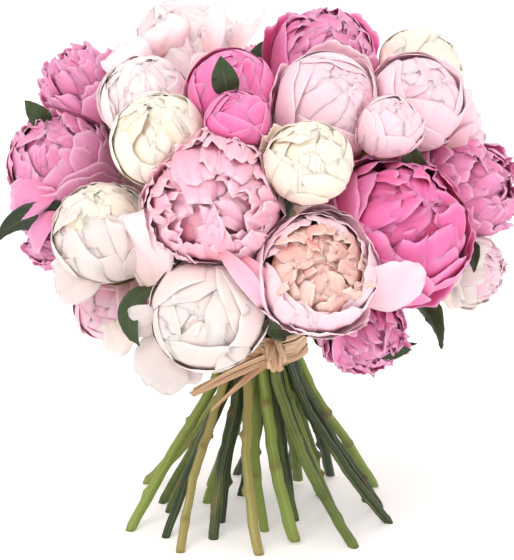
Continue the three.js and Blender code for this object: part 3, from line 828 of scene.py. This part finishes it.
def petal_points(bloom, square, petal, rng):
    """Puts a petal's square of points in place on its bloom, and gives how far along each one is."""
    u = square[:, 0]
    v = 1 - (1 - (square[:, 1] + 1) / 2) ** 1.15
    # The tip is round, with a few shallow lobes.
    lobes = 0.5 - 0.5 * np.cos(petal["lobes"] * math.pi * u + petal["lobes_from"])
    shoulders = 1 - np.sqrt(np.maximum(1 - np.abs(u) ** 2.6, 0))
    v = v * (1 - petal["round"] * shoulders - petal["notch"] * lobes)
    size = bloom.radius
    reach = math.radians(petal["reach"])
    start = reach + math.radians(petal["span"]) if petal["span"] else FOOT
    angle = start + (reach - start) * v
    billow = min(0.022, petal["ruffle"]) * wander(1.6 * u + 1.2 * v, rng.uniform(0, TURN, 3))
    shell = size * petal["shell"] * (1 + petal["flare"] * v**2.5 + petal["tuck"] * u + billow)
    shell = shell * (1 - 0.1 * smooth(1 - v / 0.25)) * (1 - petal["dip"] * (1 - v) ** 1.4)
    breadth = size * petal["width"] * (0.34 + 0.66 * np.sin(np.minimum(v / 0.62, 1) * math.pi / 2) ** 0.9)
    curve = shell / (petal["scoop"] * (0.8 + 0.2 * v))
    swing = np.clip(u * breadth / curve, -1.6, 1.6)
    aside = curve * np.sin(swing)
    drop = curve * (1 - np.cos(swing))
    # Waves along the rim, pleats that die away towards the base, and a crease down the middle.
    near_rim = np.maximum(v**4, np.abs(u) ** 5 * v)
    waves = wander(petal["waves"] * u + 1.5 * v, rng.uniform(0, TURN, 3))
    pleats = wander(4.5 * u, rng.uniform(0, TURN, 3)) * v**2 * 0.35
    crease = petal["crease"] * np.abs(u) * v**2
    ripple = size * (petal["ruffle"] * (near_rim * waves * 1.6 + pleats) + crease)
    # The petal's own frame at each point: out from the bloom, and sideways round it.
    turn = petal["azimuth"] + petal["twirl"] * v
    spoke = np.outer(np.cos(turn), bloom.top) + np.outer(np.sin(turn), bloom.right)
    round_it = np.outer(np.sin(turn), bloom.top) - np.outer(np.cos(turn), bloom.right)
    out = spoke * np.sin(angle)[:, None] + np.outer(np.cos(angle), bloom.face)
    twist = petal["twist"] * v
    side = round_it * np.cos(twist)[:, None] + out * np.sin(twist)[:, None]
    rise = out * np.cos(twist)[:, None] - round_it * np.sin(twist)[:, None]
    points = out * shell[:, None] + side * aside[:, None] + rise * (ripple - drop)[:, None]
    # The foot of the bloom bends over to meet its stem.
    foot = smooth((angle - math.radians(80)) / math.radians(100))
    points += np.outer(foot * shell, bloom.face - bloom.neck)
    points += bloom.centre
    return points if petal["soft"] is None else bloom.press(points, petal["soft"])


def vary(bloom, sort, rng, soft):
    """One petal of a sort, a little different from the others."""
    return dict(
        sort,
        reach=pick(rng, sort["reach"]),
        shell=pick(rng, sort["shell"]),
        width=sort["width"] * rng.uniform(0.88, 1.12),
        flare=sort["flare"] + rng.uniform(-0.02, 0.02),
        scoop=sort["scoop"] * rng.uniform(0.88, 1.15),
        ruffle=sort["ruffle"] * rng.uniform(0.6, 1.4),
        notch=sort["notch"] * rng.uniform(0.3, 1.3),
        twist=math.radians(sort["twist"]) * rng.uniform(-1, 1),
        waves=rng.uniform(2.0, 3.4),
        lobes=rng.uniform(1.0, 2.6),
        lobes_from=rng.uniform(0, TURN),
        round=rng.uniform(0.16, 0.34),
        tuck=rng.uniform(0.03, 0.05),
        crease=sort["ruffle"] * rng.uniform(-0.4, 0.4),
        twirl=rng.uniform(-0.12, 0.12),
        tone=rng.uniform(0, 1),
        soft=soft * rng.uniform(0.6, 1.3),
    )


def ring_petals(bloom, sort, rng, soft):
    """The petals of one ring, spaced round the bloom."""
    first = rng.uniform(0, TURN)
    for i in range(sort["count"]):
        petal = vary(bloom, sort, rng, soft)
        petal["azimuth"] = first + TURN * (i + rng.uniform(-0.22, 0.22)) / sort["count"]
        yield petal


def rim_thinning(square):
    """How much thinner a petal is at each point of its square: 1 at its sides and tip, 0 well inside."""
    return smooth((np.maximum(np.abs(square[:, 0]), square[:, 1]) - 0.7) / 0.3)


def make_petals(name, bloom, petals, grid, material, slot, replaced, rng):
    """One piece that holds a bloom's petals of one sort."""
    mesh, starts = grid_sheets(name, [grid] * len(petals))
    points = read_points(mesh)
    thinning = rim_thinning(points)
    heart, tone = np.empty(len(points)), np.empty(len(points))
    for petal, first, last in zip(petals, starts, starts[1:]):
        points[first:last] = petal_points(bloom, points[first:last], petal, rng)
        heart[first:last] = petal["heart"]
        tone[first:last] = petal["tone"]
    write_points(mesh, points)
    write_attribute(mesh, "heart", heart)
    write_attribute(mesh, "tone", tone)
    thickness = bpy.context.scene.peony_petals.thickness
    show(mesh, material, slot, replaced, thickness, thinning)


def free_petal_points(square, line, breadth, cup, rng):
    """Puts a petal's square of points on a sheet along a line that faces out of the head."""
    u, v = square[:, 0], (square[:, 1] + 1) / 2
    shoulders = 1 - np.sqrt(np.maximum(1 - np.abs(u) ** 3, 0))
    lobes = 0.5 - 0.5 * np.cos(4 * u + rng.uniform(0, TURN))
    v = v * (1 - 0.3 * shoulders - 0.08 * lobes)
    sides, normals = frames_along(line, np.cross(line[-1] - line[0], line[-1] - head_middle()))
    steps = np.linspace(0, 1, len(line))
    at, side, normal = (
        np.stack([np.interp(v, steps, part[:, axis]) for axis in range(3)], axis=1)
        for part in (line, sides, normals)
    )
    half = breadth / 2 * (0.4 + 0.6 * np.sin(np.minimum(v / 0.55, 1) * math.pi / 2))
    rim = np.maximum(v**4, np.abs(u) ** 5)
    waves = wander(2.6 * u + 1.5 * v, rng.uniform(0, TURN, 3)) * (0.25 + rim) * 0.12
    billow = 0.08 * wander(2.2 * v + u, rng.uniform(0, TURN, 3))
    lift = half * (cup * u**2 + waves) + breadth / 2 * billow
    return at + side * (half * u)[:, None] - normal * lift[:, None]


def make_free_petal(number, line, breadth, cup, material, slot):
    """One petal that belongs to no ring, along a line."""
    rng = np.random.default_rng(350 + number)
    mesh, _ = grid_sheets(f"free_petal_{number + 1:02d}", [BROAD_GRID])
    square = read_points(mesh)
    points = free_petal_points(square, line, breadth, cup, rng)
    write_points(mesh, points)
    write_attribute(mesh, "heart", np.zeros(len(points)))
    write_attribute(mesh, "tone", np.full(len(points), rng.uniform(0, 1)))
    show(mesh, material, slot, [], bpy.context.scene.peony_petals.thickness, rim_thinning(square))


def find_blooms():
    """All the blooms, each knowing its neighbours."""
    blooms = [Bloom(index) for index in range(len(BLOOMS))]
    for bloom in blooms:
        bloom.meet(blooms)
    return blooms


class PEONY_OT_petals(bpy.types.Operator):
    """Make the petals of every bloom"""

    bl_idname = "peony.petals"
    bl_label = "Petals"

    def execute(self, context):
        materials = petal_materials()
        soft = context.scene.peony_petals.press
        for index, bloom in enumerate(find_blooms()):
            rng = np.random.default_rng(100 + index)
            guard = GUARD if bloom.kind in LOOSE_KINDS else HUGGING
            broad, narrow = (list(ring_petals(bloom, sort, rng, soft)) for sort in (guard, CORE))
            for sort in KINDS[bloom.kind]:
                made = list(ring_petals(bloom, sort, rng, soft))
                (narrow if sort["width"] < NARROW else broad).extend(made)
            make_petals(f"outer_petals_{bloom.number}", bloom, broad, BROAD_GRID,
                        *materials[bloom.outer], [bloom.node], rng)
            make_petals(f"inner_petals_{bloom.number}", bloom, narrow, NARROW_GRID,
                        *materials[bloom.inner], [], rng)
        return {"FINISHED"}


class PEONY_OT_loose_petals(bpy.types.Operator):
    """Make the outer petals that hang or lean away from their blooms"""

    bl_idname = "peony.loose_petals"
    bl_label = "Loose petals"

    def execute(self, context):
        materials = petal_materials()
        blooms = find_blooms()
        for number, tint, places in LOOSE_PETALS:
            bloom = blooms[number - 1]
            rng = np.random.default_rng(300 + number)
            petals = []
            for clock, reach, shell, width, flare in places:
                sort = ring(1, reach, shell, width, flare=flare, ruffle=0.03, notch=0.06)
                petal = vary(bloom, sort, rng, context.scene.peony_petals.press)
                petal["azimuth"] = math.radians(clock)
                petal["soft"] = None
                petals.append(petal)
            make_petals(f"loose_petals_{bloom.number}", bloom, petals, BROAD_GRID, *materials[tint],
                        [], rng)
        for number, (tint, foot, over, tip, breadth, cup) in enumerate(FREE_PETALS):
            line = bow(*places_in_head(foot, over, tip), FREE_PETAL_STEPS)
            make_free_petal(number, line, breadth * MM, cup, *materials[tint])
        return {"FINISHED"}


class PEONY_OT_sepals(bpy.types.Operator):
    """Make the green sepals that hold each bloom"""

    bl_idname = "peony.sepals"
    bl_label = "Sepals"

    def execute(self, context):
        material = sepal_material()
        sort = ring(4, (112, 134), 1.025, 0.34, flare=0.03, ruffle=0.01, notch=0.04)
        for index, bloom in enumerate(find_blooms()):
            rng = np.random.default_rng(400 + index)
            sepals = list(ring_petals(bloom, sort, rng, context.scene.peony_petals.press))
            make_petals(f"sepals_{bloom.number}", bloom, sepals, NARROW_GRID, material, "stem", [], rng)
        return {"FINISHED"}


# ---------------------------------------------------------------------------------------------
# Stems
# ---------------------------------------------------------------------------------------------

STEM_GRID = (18, 84)  # cells round a stem and along it
# Tones of the stems, in the order of their blooms: under 0.3 dark, over 0.5 fresh, over 0.9 tan.
STEM_TONES = [0.66, 0.1, 0.48, 0.88, 0.24, 0.7, 0.08, 0.38]
JOINT_LENGTH = 0.016  # share of a stem's length over which a joint swells
STUB_LENGTH = 0.007  # and over which the stub of a leaf sticks out there
STUB_REACH = 0.75  # how far it does, as a share of the stem's radius
KINK = 0.9 * MM  # how far a stem strays from its line
CUT_ENDS_BELOW = 0.05  # height that every cut end is under
CUT_RIM = 0.9 * MM  # breadth of the green rim round the pith


def tube(line, radii, columns):
    """Points of a tube round a line, for a grid whose columns go round it and whose rows go along."""
    sides, normals = frames_along(line, np.cross(line[-1] - line[0], (0.3, 1, 0.1)))
    turn = np.linspace(0, TURN, columns + 1)
    wheel = sides[:, None] * np.cos(turn)[:, None] + normals[:, None] * np.sin(turn)[:, None]
    return line[:, None] + wheel * radii[..., None]


def make_stem(bloom, material, pith, tone):
    """One stem from its cut end up to its bloom, with joints where leaves once were."""
    rng = np.random.default_rng(700 + int(bloom.number))
    columns, rows = STEM_GRID
    rough = bloom.stem_line[::-1].copy()
    tip = bloom.centre - bloom.neck * bloom.radius * 0.86
    line = resample(np.vstack((rough, tip)), rows + 1)
    floor = rough[0][2]
    line[:, 2] += (floor - line[0, 2]) * np.linspace(1, 0, rows + 1) ** 4
    along = np.linspace(0, 1, rows + 1)
    radius = np.median(bloom.stem_radii) * rng.uniform(0.84, 1.04)
    joints = rng.uniform(0.08, 0.2), rng.uniform(0.26, 0.38)
    swell, stub = np.zeros((2, rows + 1))
    for joint in joints:
        swell += np.exp(-(((along - joint) / JOINT_LENGTH) ** 2))
        stub += np.exp(-(((along - joint) / STUB_LENGTH) ** 2))
    radii = radius * (1 - 0.12 * along + 0.07 * swell + 0.05 * wander(11 * along, rng.uniform(0, TURN, 3)))
    radii = radii + radius * 0.5 * smooth((along - 0.94) / 0.06)
    turn = np.linspace(0, TURN, columns + 1)
    ribs = 1 + 0.04 * np.sin(5 * turn + rng.uniform(0, TURN)) + 0.02 * np.sin(8 * turn)
    # The stub of a leaf sticks out on one side of each joint, and is brown where it was cut.
    lean = (np.cos(turn - rng.uniform(0, TURN)) * 0.5 + 0.5) ** 5
    scar = np.outer(stub, lean)
    shape = radii[:, None] * ribs + scar * radius * STUB_REACH
    line[:, 0] += KINK * wander(13 * along, rng.uniform(0, TURN, 3)) * np.sin(math.pi * along) ** 0.5
    points = tube(line, shape, columns)
    points[0, :, 2] = floor
    points[..., 2] = np.maximum(points[..., 2], CAD_BOX[0][2])
    mesh, _ = grid_sheets(f"stem_{bloom.number}_skin", [(columns, rows)])
    write_points(mesh, points.reshape(-1, 3))
    write_attribute(mesh, "heart", np.clip(scar, 0, 1).ravel() * 0.8)
    write_attribute(mesh, "tone", np.full(points.shape[0] * points.shape[1], tone))
    close_tube(mesh)
    show(mesh, material, "stem", [f"stem_{bloom.number}"])
    mesh.materials.append(pith)


def close_tube(mesh):
    """Joins the seam of a tube made from a grid, and closes its two ends, the first with pith."""
    bm = bmesh.new()
    bm.from_mesh(mesh)
    bmesh.ops.remove_doubles(bm, verts=bm.verts, dist=1e-6)
    heart = bm.verts.layers.float["heart"]
    caps = bmesh.ops.holes_fill(bm, edges=[e for e in bm.edges if e.is_boundary])["faces"]
    for cap in caps:
        cap.smooth = False
        if cap.calc_center_median().z > CUT_ENDS_BELOW:
            continue
        cap.material_index = 1
        rim = bmesh.ops.inset_individual(bm, faces=[cap], thickness=CUT_RIM)["faces"]
        for face in rim:
            face.material_index = 1
        for vert in cap.verts:
            vert[heart] = 1.0
    bmesh.ops.recalc_face_normals(bm, faces=bm.faces)
    bm.to_mesh(mesh)
    bm.free()


class PEONY_OT_stems(bpy.types.Operator):
    """Make the stems, with their joints and cut ends"""

    bl_idname = "peony.stems"
    bl_label = "Stems"

    def execute(self, context):
        material, pith = stem_material(), pith_material()
        for index, bloom in enumerate(find_blooms()):
            tone = STEM_TONES[index % len(STEM_TONES)]
            make_stem(bloom, material, pith, tone + 0.06 * math.sin(5.0 * index))
        return {"FINISHED"}


# ---------------------------------------------------------------------------------------------
# Leaves
# ---------------------------------------------------------------------------------------------

LEAF_GRID = (12, 40)  # cells across a leaf and along it
LEAF_WAVE = 1.1 * MM  # how far a leaf's edge waves
LEAF_FOLD = 0.3  # how far each half folds down, as a share of its breadth
STALK_WIDTH = 2.2 * MM
TUCKED_STALK = 0.2  # share of a tucked leaf's length that is stalk


def leaf_points(line, breadth, stalk, first_side, rng):
    """Points of a leaf along its midrib, for a grid whose columns go across it."""
    columns, rows = LEAF_GRID
    line = resample(line, rows + 1)
    sides, normals = frames_along(line, first_side)
    along = np.linspace(0, 1, rows + 1)
    blade = np.clip((along - stalk) / (1 - stalk), 0, 1)
    half = breadth / 2 * np.sin(math.pi * blade**0.8) ** 0.9
    half = np.maximum(half, STALK_WIDTH / 2 * smooth((1 - along) / 0.08))
    u = np.linspace(-1, 1, columns + 1)
    phases = rng.uniform(0, TURN, 3)
    edge = LEAF_WAVE * np.outer(wander(12 * along, phases), np.abs(u) ** 3 * np.sign(u))
    drop = np.outer(half, np.abs(u) ** 1.3) * LEAF_FOLD
    aside = np.outer(half, u)
    return line[:, None] + sides[:, None] * aside[..., None] + normals[:, None] * (edge - drop)[..., None]


def make_leaf(name, line, breadth, stalk, first_side, seed, material, replaced=()):
    """One leaf along a midrib."""
    rng = np.random.default_rng(seed)
    mesh, _ = grid_sheets(name, [LEAF_GRID])
    points = leaf_points(line, breadth, stalk, first_side, rng)
    write_points(mesh, points.reshape(-1, 3))
    count = points.shape[0] * points.shape[1]
    write_attribute(mesh, "tone", np.full(count, rng.uniform(0, 1)))
    show(mesh, material, "leaf", replaced, bpy.context.scene.peony_greens.leaf_thickness)


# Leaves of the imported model. Each one: its node, its breadth in millimetres and the share of its
# length that is stalk.
HANGING_LEAVES = [("leaf_01", 24, 0.42), ("leaf_02", 22, 0.33), ("leaf_03", 22, 0.2)]
# Leaves among the blooms. Each one: the azimuth, elevation and depth of its foot, of the point that
# it bends towards and of its tip, and its breadth.
TUCKED_LEAVES = [
    ((-31, -15, 39), (-36, -12, -3), (-33, -26, -3), 14),
    ((-14, 47, 29), (-15, 47, 8), (-18, 54, -3), 17),
    ((62, 8, 48), (49, 17, 26), (49, 26, 20), 17),
    ((-87, 19, 19), (-81, 22, 4), (-84, 24, -10), 14),
    ((72, -6, 25), (62, -7, 11), (63, -12, 8), 9),
    ((26, -33, 25), (27, -30, 2), (46, -30, -5), 17),
    ((11, -30, 29), (7, -24, 13), (0, -22, 15), 15),
    ((8, -10, 40), (2, -10, 26), (-2, -26, 22), 17),
    ((180, 54, 60), (180, 56, 24), (172, 52, 14), 22),
    ((150, 50, 60), (152, 52, 16), (160, 44, 4), 22),
    ((-147, 13, 70), (-147, 16, 20), (-150, 22, 4), 20),
    ((178, -6, 60), (176, -8, 14), (170, -16, 2), 22),
    ((120, -20, 60), (118, -24, 10), (124, -34, 2), 20),
    ((-125, -24, 60), (-122, -28, 10), (-128, -38, 2), 22),
    ((-100, -22, 60), (-98, -26, 10), (-104, -36, 4), 20),
    ((60, 55, 60), (75, 58, 22), (88, 60, 12), 20),
]


class PEONY_OT_leaves(bpy.types.Operator):
    """Make the leaves below and among the blooms"""

    bl_idname = "peony.leaves"
    bl_label = "Leaves"

    def execute(self, context):
        material = leaf_material()
        for number, (node, breadth, stalk) in enumerate(HANGING_LEAVES):
            low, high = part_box(node)
            line, _ = swept_line(node, (0, 0, (low.z + high.z) / 2), LEAF_SIDES)
            points = read_points(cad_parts[node].data)
            # A leaf is longest along its midrib and next longest across it.
            side = np.linalg.svd(points - points.mean(0), full_matrices=False)[2][1]
            make_leaf(f"hanging_leaf_{number + 1}", line, breadth * MM, stalk, side, 900 + number,
                      material, [node])
        for number, (foot, over, tip, breadth) in enumerate(TUCKED_LEAVES):
            foot, over, tip = places_in_head(foot, over, tip)
            line = bow(foot, over, tip)
            side = np.cross(tip - foot, heading(0, 10))
            make_leaf(f"tucked_leaf_{number + 1}", line, breadth * MM, TUCKED_STALK, side,
                      930 + number, material)
        return {"FINISHED"}


# ---------------------------------------------------------------------------------------------
# Raffia
# ---------------------------------------------------------------------------------------------

BAND_STEPS = 110  # cells along a strand that goes round the stems
LOOSE_STEPS = 34  # and along a loose end or a loop of the knot
STRAND_COLUMNS = 4  # cells across any strand
LONG_TAIL_STRANDS, SHORT_TAIL_STRANDS, KNOT_STRANDS = 18, 4, 12
KNOT_AZIMUTH = 14  # degrees from the front at which the raffia is knotted
TAIL_AZIMUTH = -66  # and towards which its long loose ends point
WAIST_BETWEEN = (0.1, 0.14)  # heights between which the stems are looked at for their narrowest place


def stems_at(blooms, level):
    """The middles and radii of all the stems where they pass a height."""
    places, radii = [], []
    for bloom in blooms:
        line = bloom.stem_line[::-1]
        below = line[: np.argmax(line[:, 2] > level) + 1]
        places.append([np.interp(level, below[:, 2], below[:, axis]) for axis in (0, 1)])
        radii.append(np.median(bloom.stem_radii))
    return np.array(places), np.array(radii)


def girth(places, radii, turns):
    """How far out a string pulled tight round the stems lies, at each angle."""
    facing = np.linspace(0, TURN, 180, endpoint=False)
    ways = np.stack((np.sin(facing), -np.cos(facing)), axis=1)
    support = (places @ ways.T + radii[:, None]).max(0)
    gaps = np.cos(turns[:, None] - facing[None])
    return np.where(gaps > 0.2, support / np.maximum(gaps, 0.2), np.inf).min(1)


def ribbon(line, normals, widths, crease):
    """Points of a flat strand along a line, for a grid whose columns go across it."""
    ways = unit(np.gradient(line, axis=0))
    sides = unit(np.cross(ways, normals))
    u = np.linspace(-1, 1, STRAND_COLUMNS + 1)
    lift = np.outer(widths, 1 - np.abs(u)) * crease
    aside = np.outer(widths / 2, u)
    return line[:, None] + sides[:, None] * aside[..., None] + normals[:, None] * lift[..., None]


class PEONY_OT_raffia(bpy.types.Operator):
    """Make the raffia: strands round the stems, a knot and its loose ends"""

    bl_idname = "peony.raffia"
    bl_label = "Raffia"

    def execute(self, context):
        blooms = find_blooms()
        node = "raffia_tie"
        points = read_points(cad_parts[node].data)
        material = raffia_material()
        self.rng = np.random.default_rng(40)
        front = heading(KNOT_AZIMUTH, 0)
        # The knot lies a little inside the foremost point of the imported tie's knot.
        near = points[points @ heading(KNOT_AZIMUTH + 90, 0) > -4 * MM]
        knot = near[(near @ front).argmax()] - front * 5 * MM
        levels = np.linspace(*WAIST_BETWEEN, 21)
        spans = [girth(*stems_at(blooms, level), np.linspace(0, TURN, 40)).max() for level in levels]
        waist = levels[int(np.argmin(spans))]
        strands = [self.wound(blooms, waist) for _ in range(context.scene.peony_raffia.strands)]
        self.finish("raffia_band", strands, BAND_STEPS, material, [node])
        tips = points[(points @ heading(TAIL_AZIMUTH, 0)).argmax()], points[points[:, 2].argmin()]
        tails = [self.loose(knot, tips[0], 4.0, 3.0) for _ in range(LONG_TAIL_STRANDS)]
        tails += [self.loose(knot, tips[1], 1.6, 2.0) for _ in range(SHORT_TAIL_STRANDS)]
        self.finish("raffia_tails", tails, LOOSE_STEPS, material, [])
        loops = [self.loop(knot) for _ in range(KNOT_STRANDS)]
        self.finish("raffia_knot", loops, LOOSE_STEPS, material, [])
        return {"FINISHED"}

    def wound(self, blooms, waist):
        """A strand that goes once round the stems."""
        rng = self.rng
        first = rng.uniform(0, TURN)
        turns = first + np.linspace(0, TURN * 1.06, BAND_STEPS + 1)
        level = waist + rng.uniform(-9, 9) * MM + 1.6 * MM * wander(turns / 2, rng.uniform(0, TURN, 3))
        out = girth(*stems_at(blooms, waist), turns) + rng.uniform(0.6, 3.4) * MM
        out = out + 0.09 * np.abs(level - waist) + 0.3 * MM * wander(turns * 2, rng.uniform(0, TURN, 3))
        line = np.stack((np.sin(turns) * out, -np.cos(turns) * out, level), axis=1)
        normals = np.stack((np.sin(turns), -np.cos(turns), np.zeros_like(turns)), axis=1)
        lean = rng.uniform(-0.3, 0.3)
        normals = unit(normals + lean * UP)
        width = rng.uniform(2.2, 4.6) * MM
        return ribbon(line, normals, np.full(len(turns), width), rng.uniform(0.05, 0.25))

    def loose(self, knot, tip, spread, width):
        """A strand from the knot to a loose end."""
        rng = self.rng
        end = tip + rng.normal(0, spread * 0.4, 3) * MM * (0.6, 0.6, 1)
        foot = knot + rng.normal(0, 1.6, 3) * MM
        middle = (foot + end) / 2 + rng.normal(0, spread * 0.35, 3) * MM + (0, 0, 2 * MM)
        line = resample(bow(foot, middle, end, 20), LOOSE_STEPS + 1)
        t = np.linspace(0, 1, LOOSE_STEPS + 1)
        turn = math.pi / 2 + rng.uniform(-0.7, 0.7) + rng.uniform(-0.6, 0.6) * t
        sides, normals = frames_along(line, UP)
        facing = sides * np.cos(turn)[:, None] + normals * np.sin(turn)[:, None]
        widths = width * MM * rng.uniform(0.6, 1.1) * (1 - 0.6 * t**2)
        return ribbon(line, facing, widths, rng.uniform(0.1, 0.4))

    def loop(self, knot):
        """A strand that goes round the knot."""
        rng = self.rng
        t = np.linspace(0, 1, LOOSE_STEPS + 1)
        turn = rng.uniform(0, TURN) + t * rng.uniform(0.75, 1.1) * TURN
        tall, wide = rng.uniform(6.5, 10.5) * MM, rng.uniform(2.6, 5.0) * MM
        lean = rng.uniform(-0.5, 0.5)
        side = np.array((math.cos(lean), 0.2, math.sin(lean)))
        rise = np.array((-math.sin(lean), 0.1, math.cos(lean)))
        front = np.array((0.1, -1.0, 0.0))
        spot = knot + side * rng.uniform(-5, 5) * MM
        line = spot + np.outer(np.cos(turn) * tall, rise) + np.outer(np.sin(turn) * wide, front)
        normals = unit(np.outer(np.cos(turn) * wide, rise) + np.outer(np.sin(turn) * tall, front))
        return ribbon(line, normals, np.full(len(t), rng.uniform(2.4, 4.4) * MM), rng.uniform(0.1, 0.3))

    def finish(self, name, strands, steps, material, replaced):
        """One piece of many strands."""
        mesh, starts = grid_sheets(name, [(STRAND_COLUMNS, steps)] * len(strands))
        write_points(mesh, np.concatenate([strand.reshape(-1, 3) for strand in strands]))
        tones = self.rng.uniform(0, 1, len(strands))
        write_attribute(mesh, "tone", np.repeat(tones, starts[1]))
        show(mesh, material, "raffia", replaced, bpy.context.scene.peony_raffia.thickness)


# ---------------------------------------------------------------------------------------------
# Stage
# ---------------------------------------------------------------------------------------------

FLOOR_SIZE = 6  # from the middle of the floor to its edge
FLOOR_FLAT = 3.5  # where it starts to curve up
FLOOR_RISE = 2.0  # and how far it does
VIEW_ASIDE = 2 * MM  # how far to the left of the bunch's middle the camera looks
SKY_COLOUR = (1, 0.97, 0.95, 1)
LAMP_COLOUR = (1, 0.97, 0.93)
# Each lamp: its place, the side of its square and its power in watts.
LAMPS = {
    "key": ((-0.7, -1.3, 1.9), 1.3, 22),
    "fill": ((1.3, -1.4, 0.6), 1.4, 5),
    "back": ((0.4, 1.6, 1.4), 1.2, 8),
}


class PEONY_OT_stage(bpy.types.Operator):
    """Make the floor, the lights and the camera"""

    bl_idname = "peony.stage"
    bl_label = "Stage"

    def execute(self, context):
        scene = context.scene
        stage = scene.peony_stage
        low, high = CAD_BOX
        target = Vector(((low[0] + high[0]) / 2 - VIEW_ASIDE, 0, stage.view_height))
        self.floor(low[2])
        self.camera(scene, stage, target)
        for name, lamp in LAMPS.items():
            self.light(name, *lamp, target)
        world = bpy.data.worlds.new("studio")
        world.use_nodes = True
        background = world.node_tree.nodes["Background"]
        background.inputs["Color"].default_value = SKY_COLOUR
        background.inputs["Strength"].default_value = stage.sky
        scene.world = world
        scene.view_settings.view_transform = "Standard"
        return {"FINISHED"}

    def floor(self, level):
        """A floor that curves up into a backdrop far behind."""
        bm = bmesh.new()
        bmesh.ops.create_grid(bm, x_segments=48, y_segments=48, size=FLOOR_SIZE)
        for vert in bm.verts:
            beyond = (vert.co.xy.length - FLOOR_FLAT) / (FLOOR_SIZE - FLOOR_FLAT)
            vert.co.z = level + FLOOR_RISE * smooth(beyond)
        for face in bm.faces:
            face.smooth = True
        mesh = bpy.data.meshes.new("floor")
        bm.to_mesh(mesh)
        bm.free()
        floor = bpy.data.objects.new("floor", mesh)
        mesh.materials.append(floor_material())
        bpy.context.scene.collection.objects.link(floor)

    def camera(self, scene, stage, target):
        """A long lens that looks a little down on the front of the bunch."""
        data = bpy.data.cameras.new("camera")
        data.sensor_fit = "HORIZONTAL"
        data.lens = data.sensor_width * stage.distance / stage.view_width
        data.clip_end = 30
        camera = bpy.data.objects.new("camera", data)
        away = Vector((0, -math.cos(stage.elevation), math.sin(stage.elevation)))
        camera.location = target + away * stage.distance
        camera.rotation_euler = away.to_track_quat("Z", "Y").to_euler()
        scene.collection.objects.link(camera)
        scene.camera = camera

    def light(self, name, place, size, power, target):
        """A square soft light that points at the bunch."""
        data = bpy.data.lights.new(name, "AREA")
        data.size = size
        data.energy = power
        data.color = LAMP_COLOUR
        lamp = bpy.data.objects.new(name, data)
        lamp.location = place
        lamp.rotation_euler = (Vector(place) - target).to_track_quat("Z", "Y").to_euler()
        bpy.context.scene.collection.objects.link(lamp)


class PEONY_PT_panel(bpy.types.Panel):
    """The bunch's operators and settings"""

    bl_label = "Peony bunch"
    bl_idname = "PEONY_PT_panel"
    bl_space_type = "VIEW_3D"
    bl_region_type = "UI"
    bl_category = "Peonies"

    def draw(self, context):
        for operator in OPERATORS:
            self.layout.operator(operator.bl_idname)
        for group in SETTINGS:
            box = self.layout.box()
            for name in SETTINGS[group].__annotations__:
                box.prop(getattr(context.scene, group), name)


OPERATORS = (
    PEONY_OT_petals,
    PEONY_OT_loose_petals,
    PEONY_OT_sepals,
    PEONY_OT_stems,
    PEONY_OT_leaves,
    PEONY_OT_raffia,
    PEONY_OT_stage,
)
SETTINGS = {
    "peony_petals": PetalSettings,
    "peony_greens": GreenSettings,
    "peony_raffia": RaffiaSettings,
    "peony_stage": StageSettings,
}


def register():
    for kind in (*SETTINGS.values(), *OPERATORS, PEONY_PT_panel):
        bpy.utils.register_class(kind)
    for name, kind in SETTINGS.items():
        setattr(bpy.types.Scene, name, PointerProperty(type=kind))


def unregister():
    for name in SETTINGS:
        delattr(bpy.types.Scene, name)
    for kind in (PEONY_PT_panel, *OPERATORS[::-1], *list(SETTINGS.values())[::-1]):
        bpy.utils.unregister_class(kind)


def main():
    """Makes the bunch."""
    register()
    bpy.ops.peony.petals()
    bpy.ops.peony.loose_petals()
    bpy.ops.peony.sepals()
    bpy.ops.peony.stems()
    bpy.ops.peony.leaves()
    bpy.ops.peony.raffia()
    bpy.ops.peony.stage()


if __name__ == "__main__":
    main()
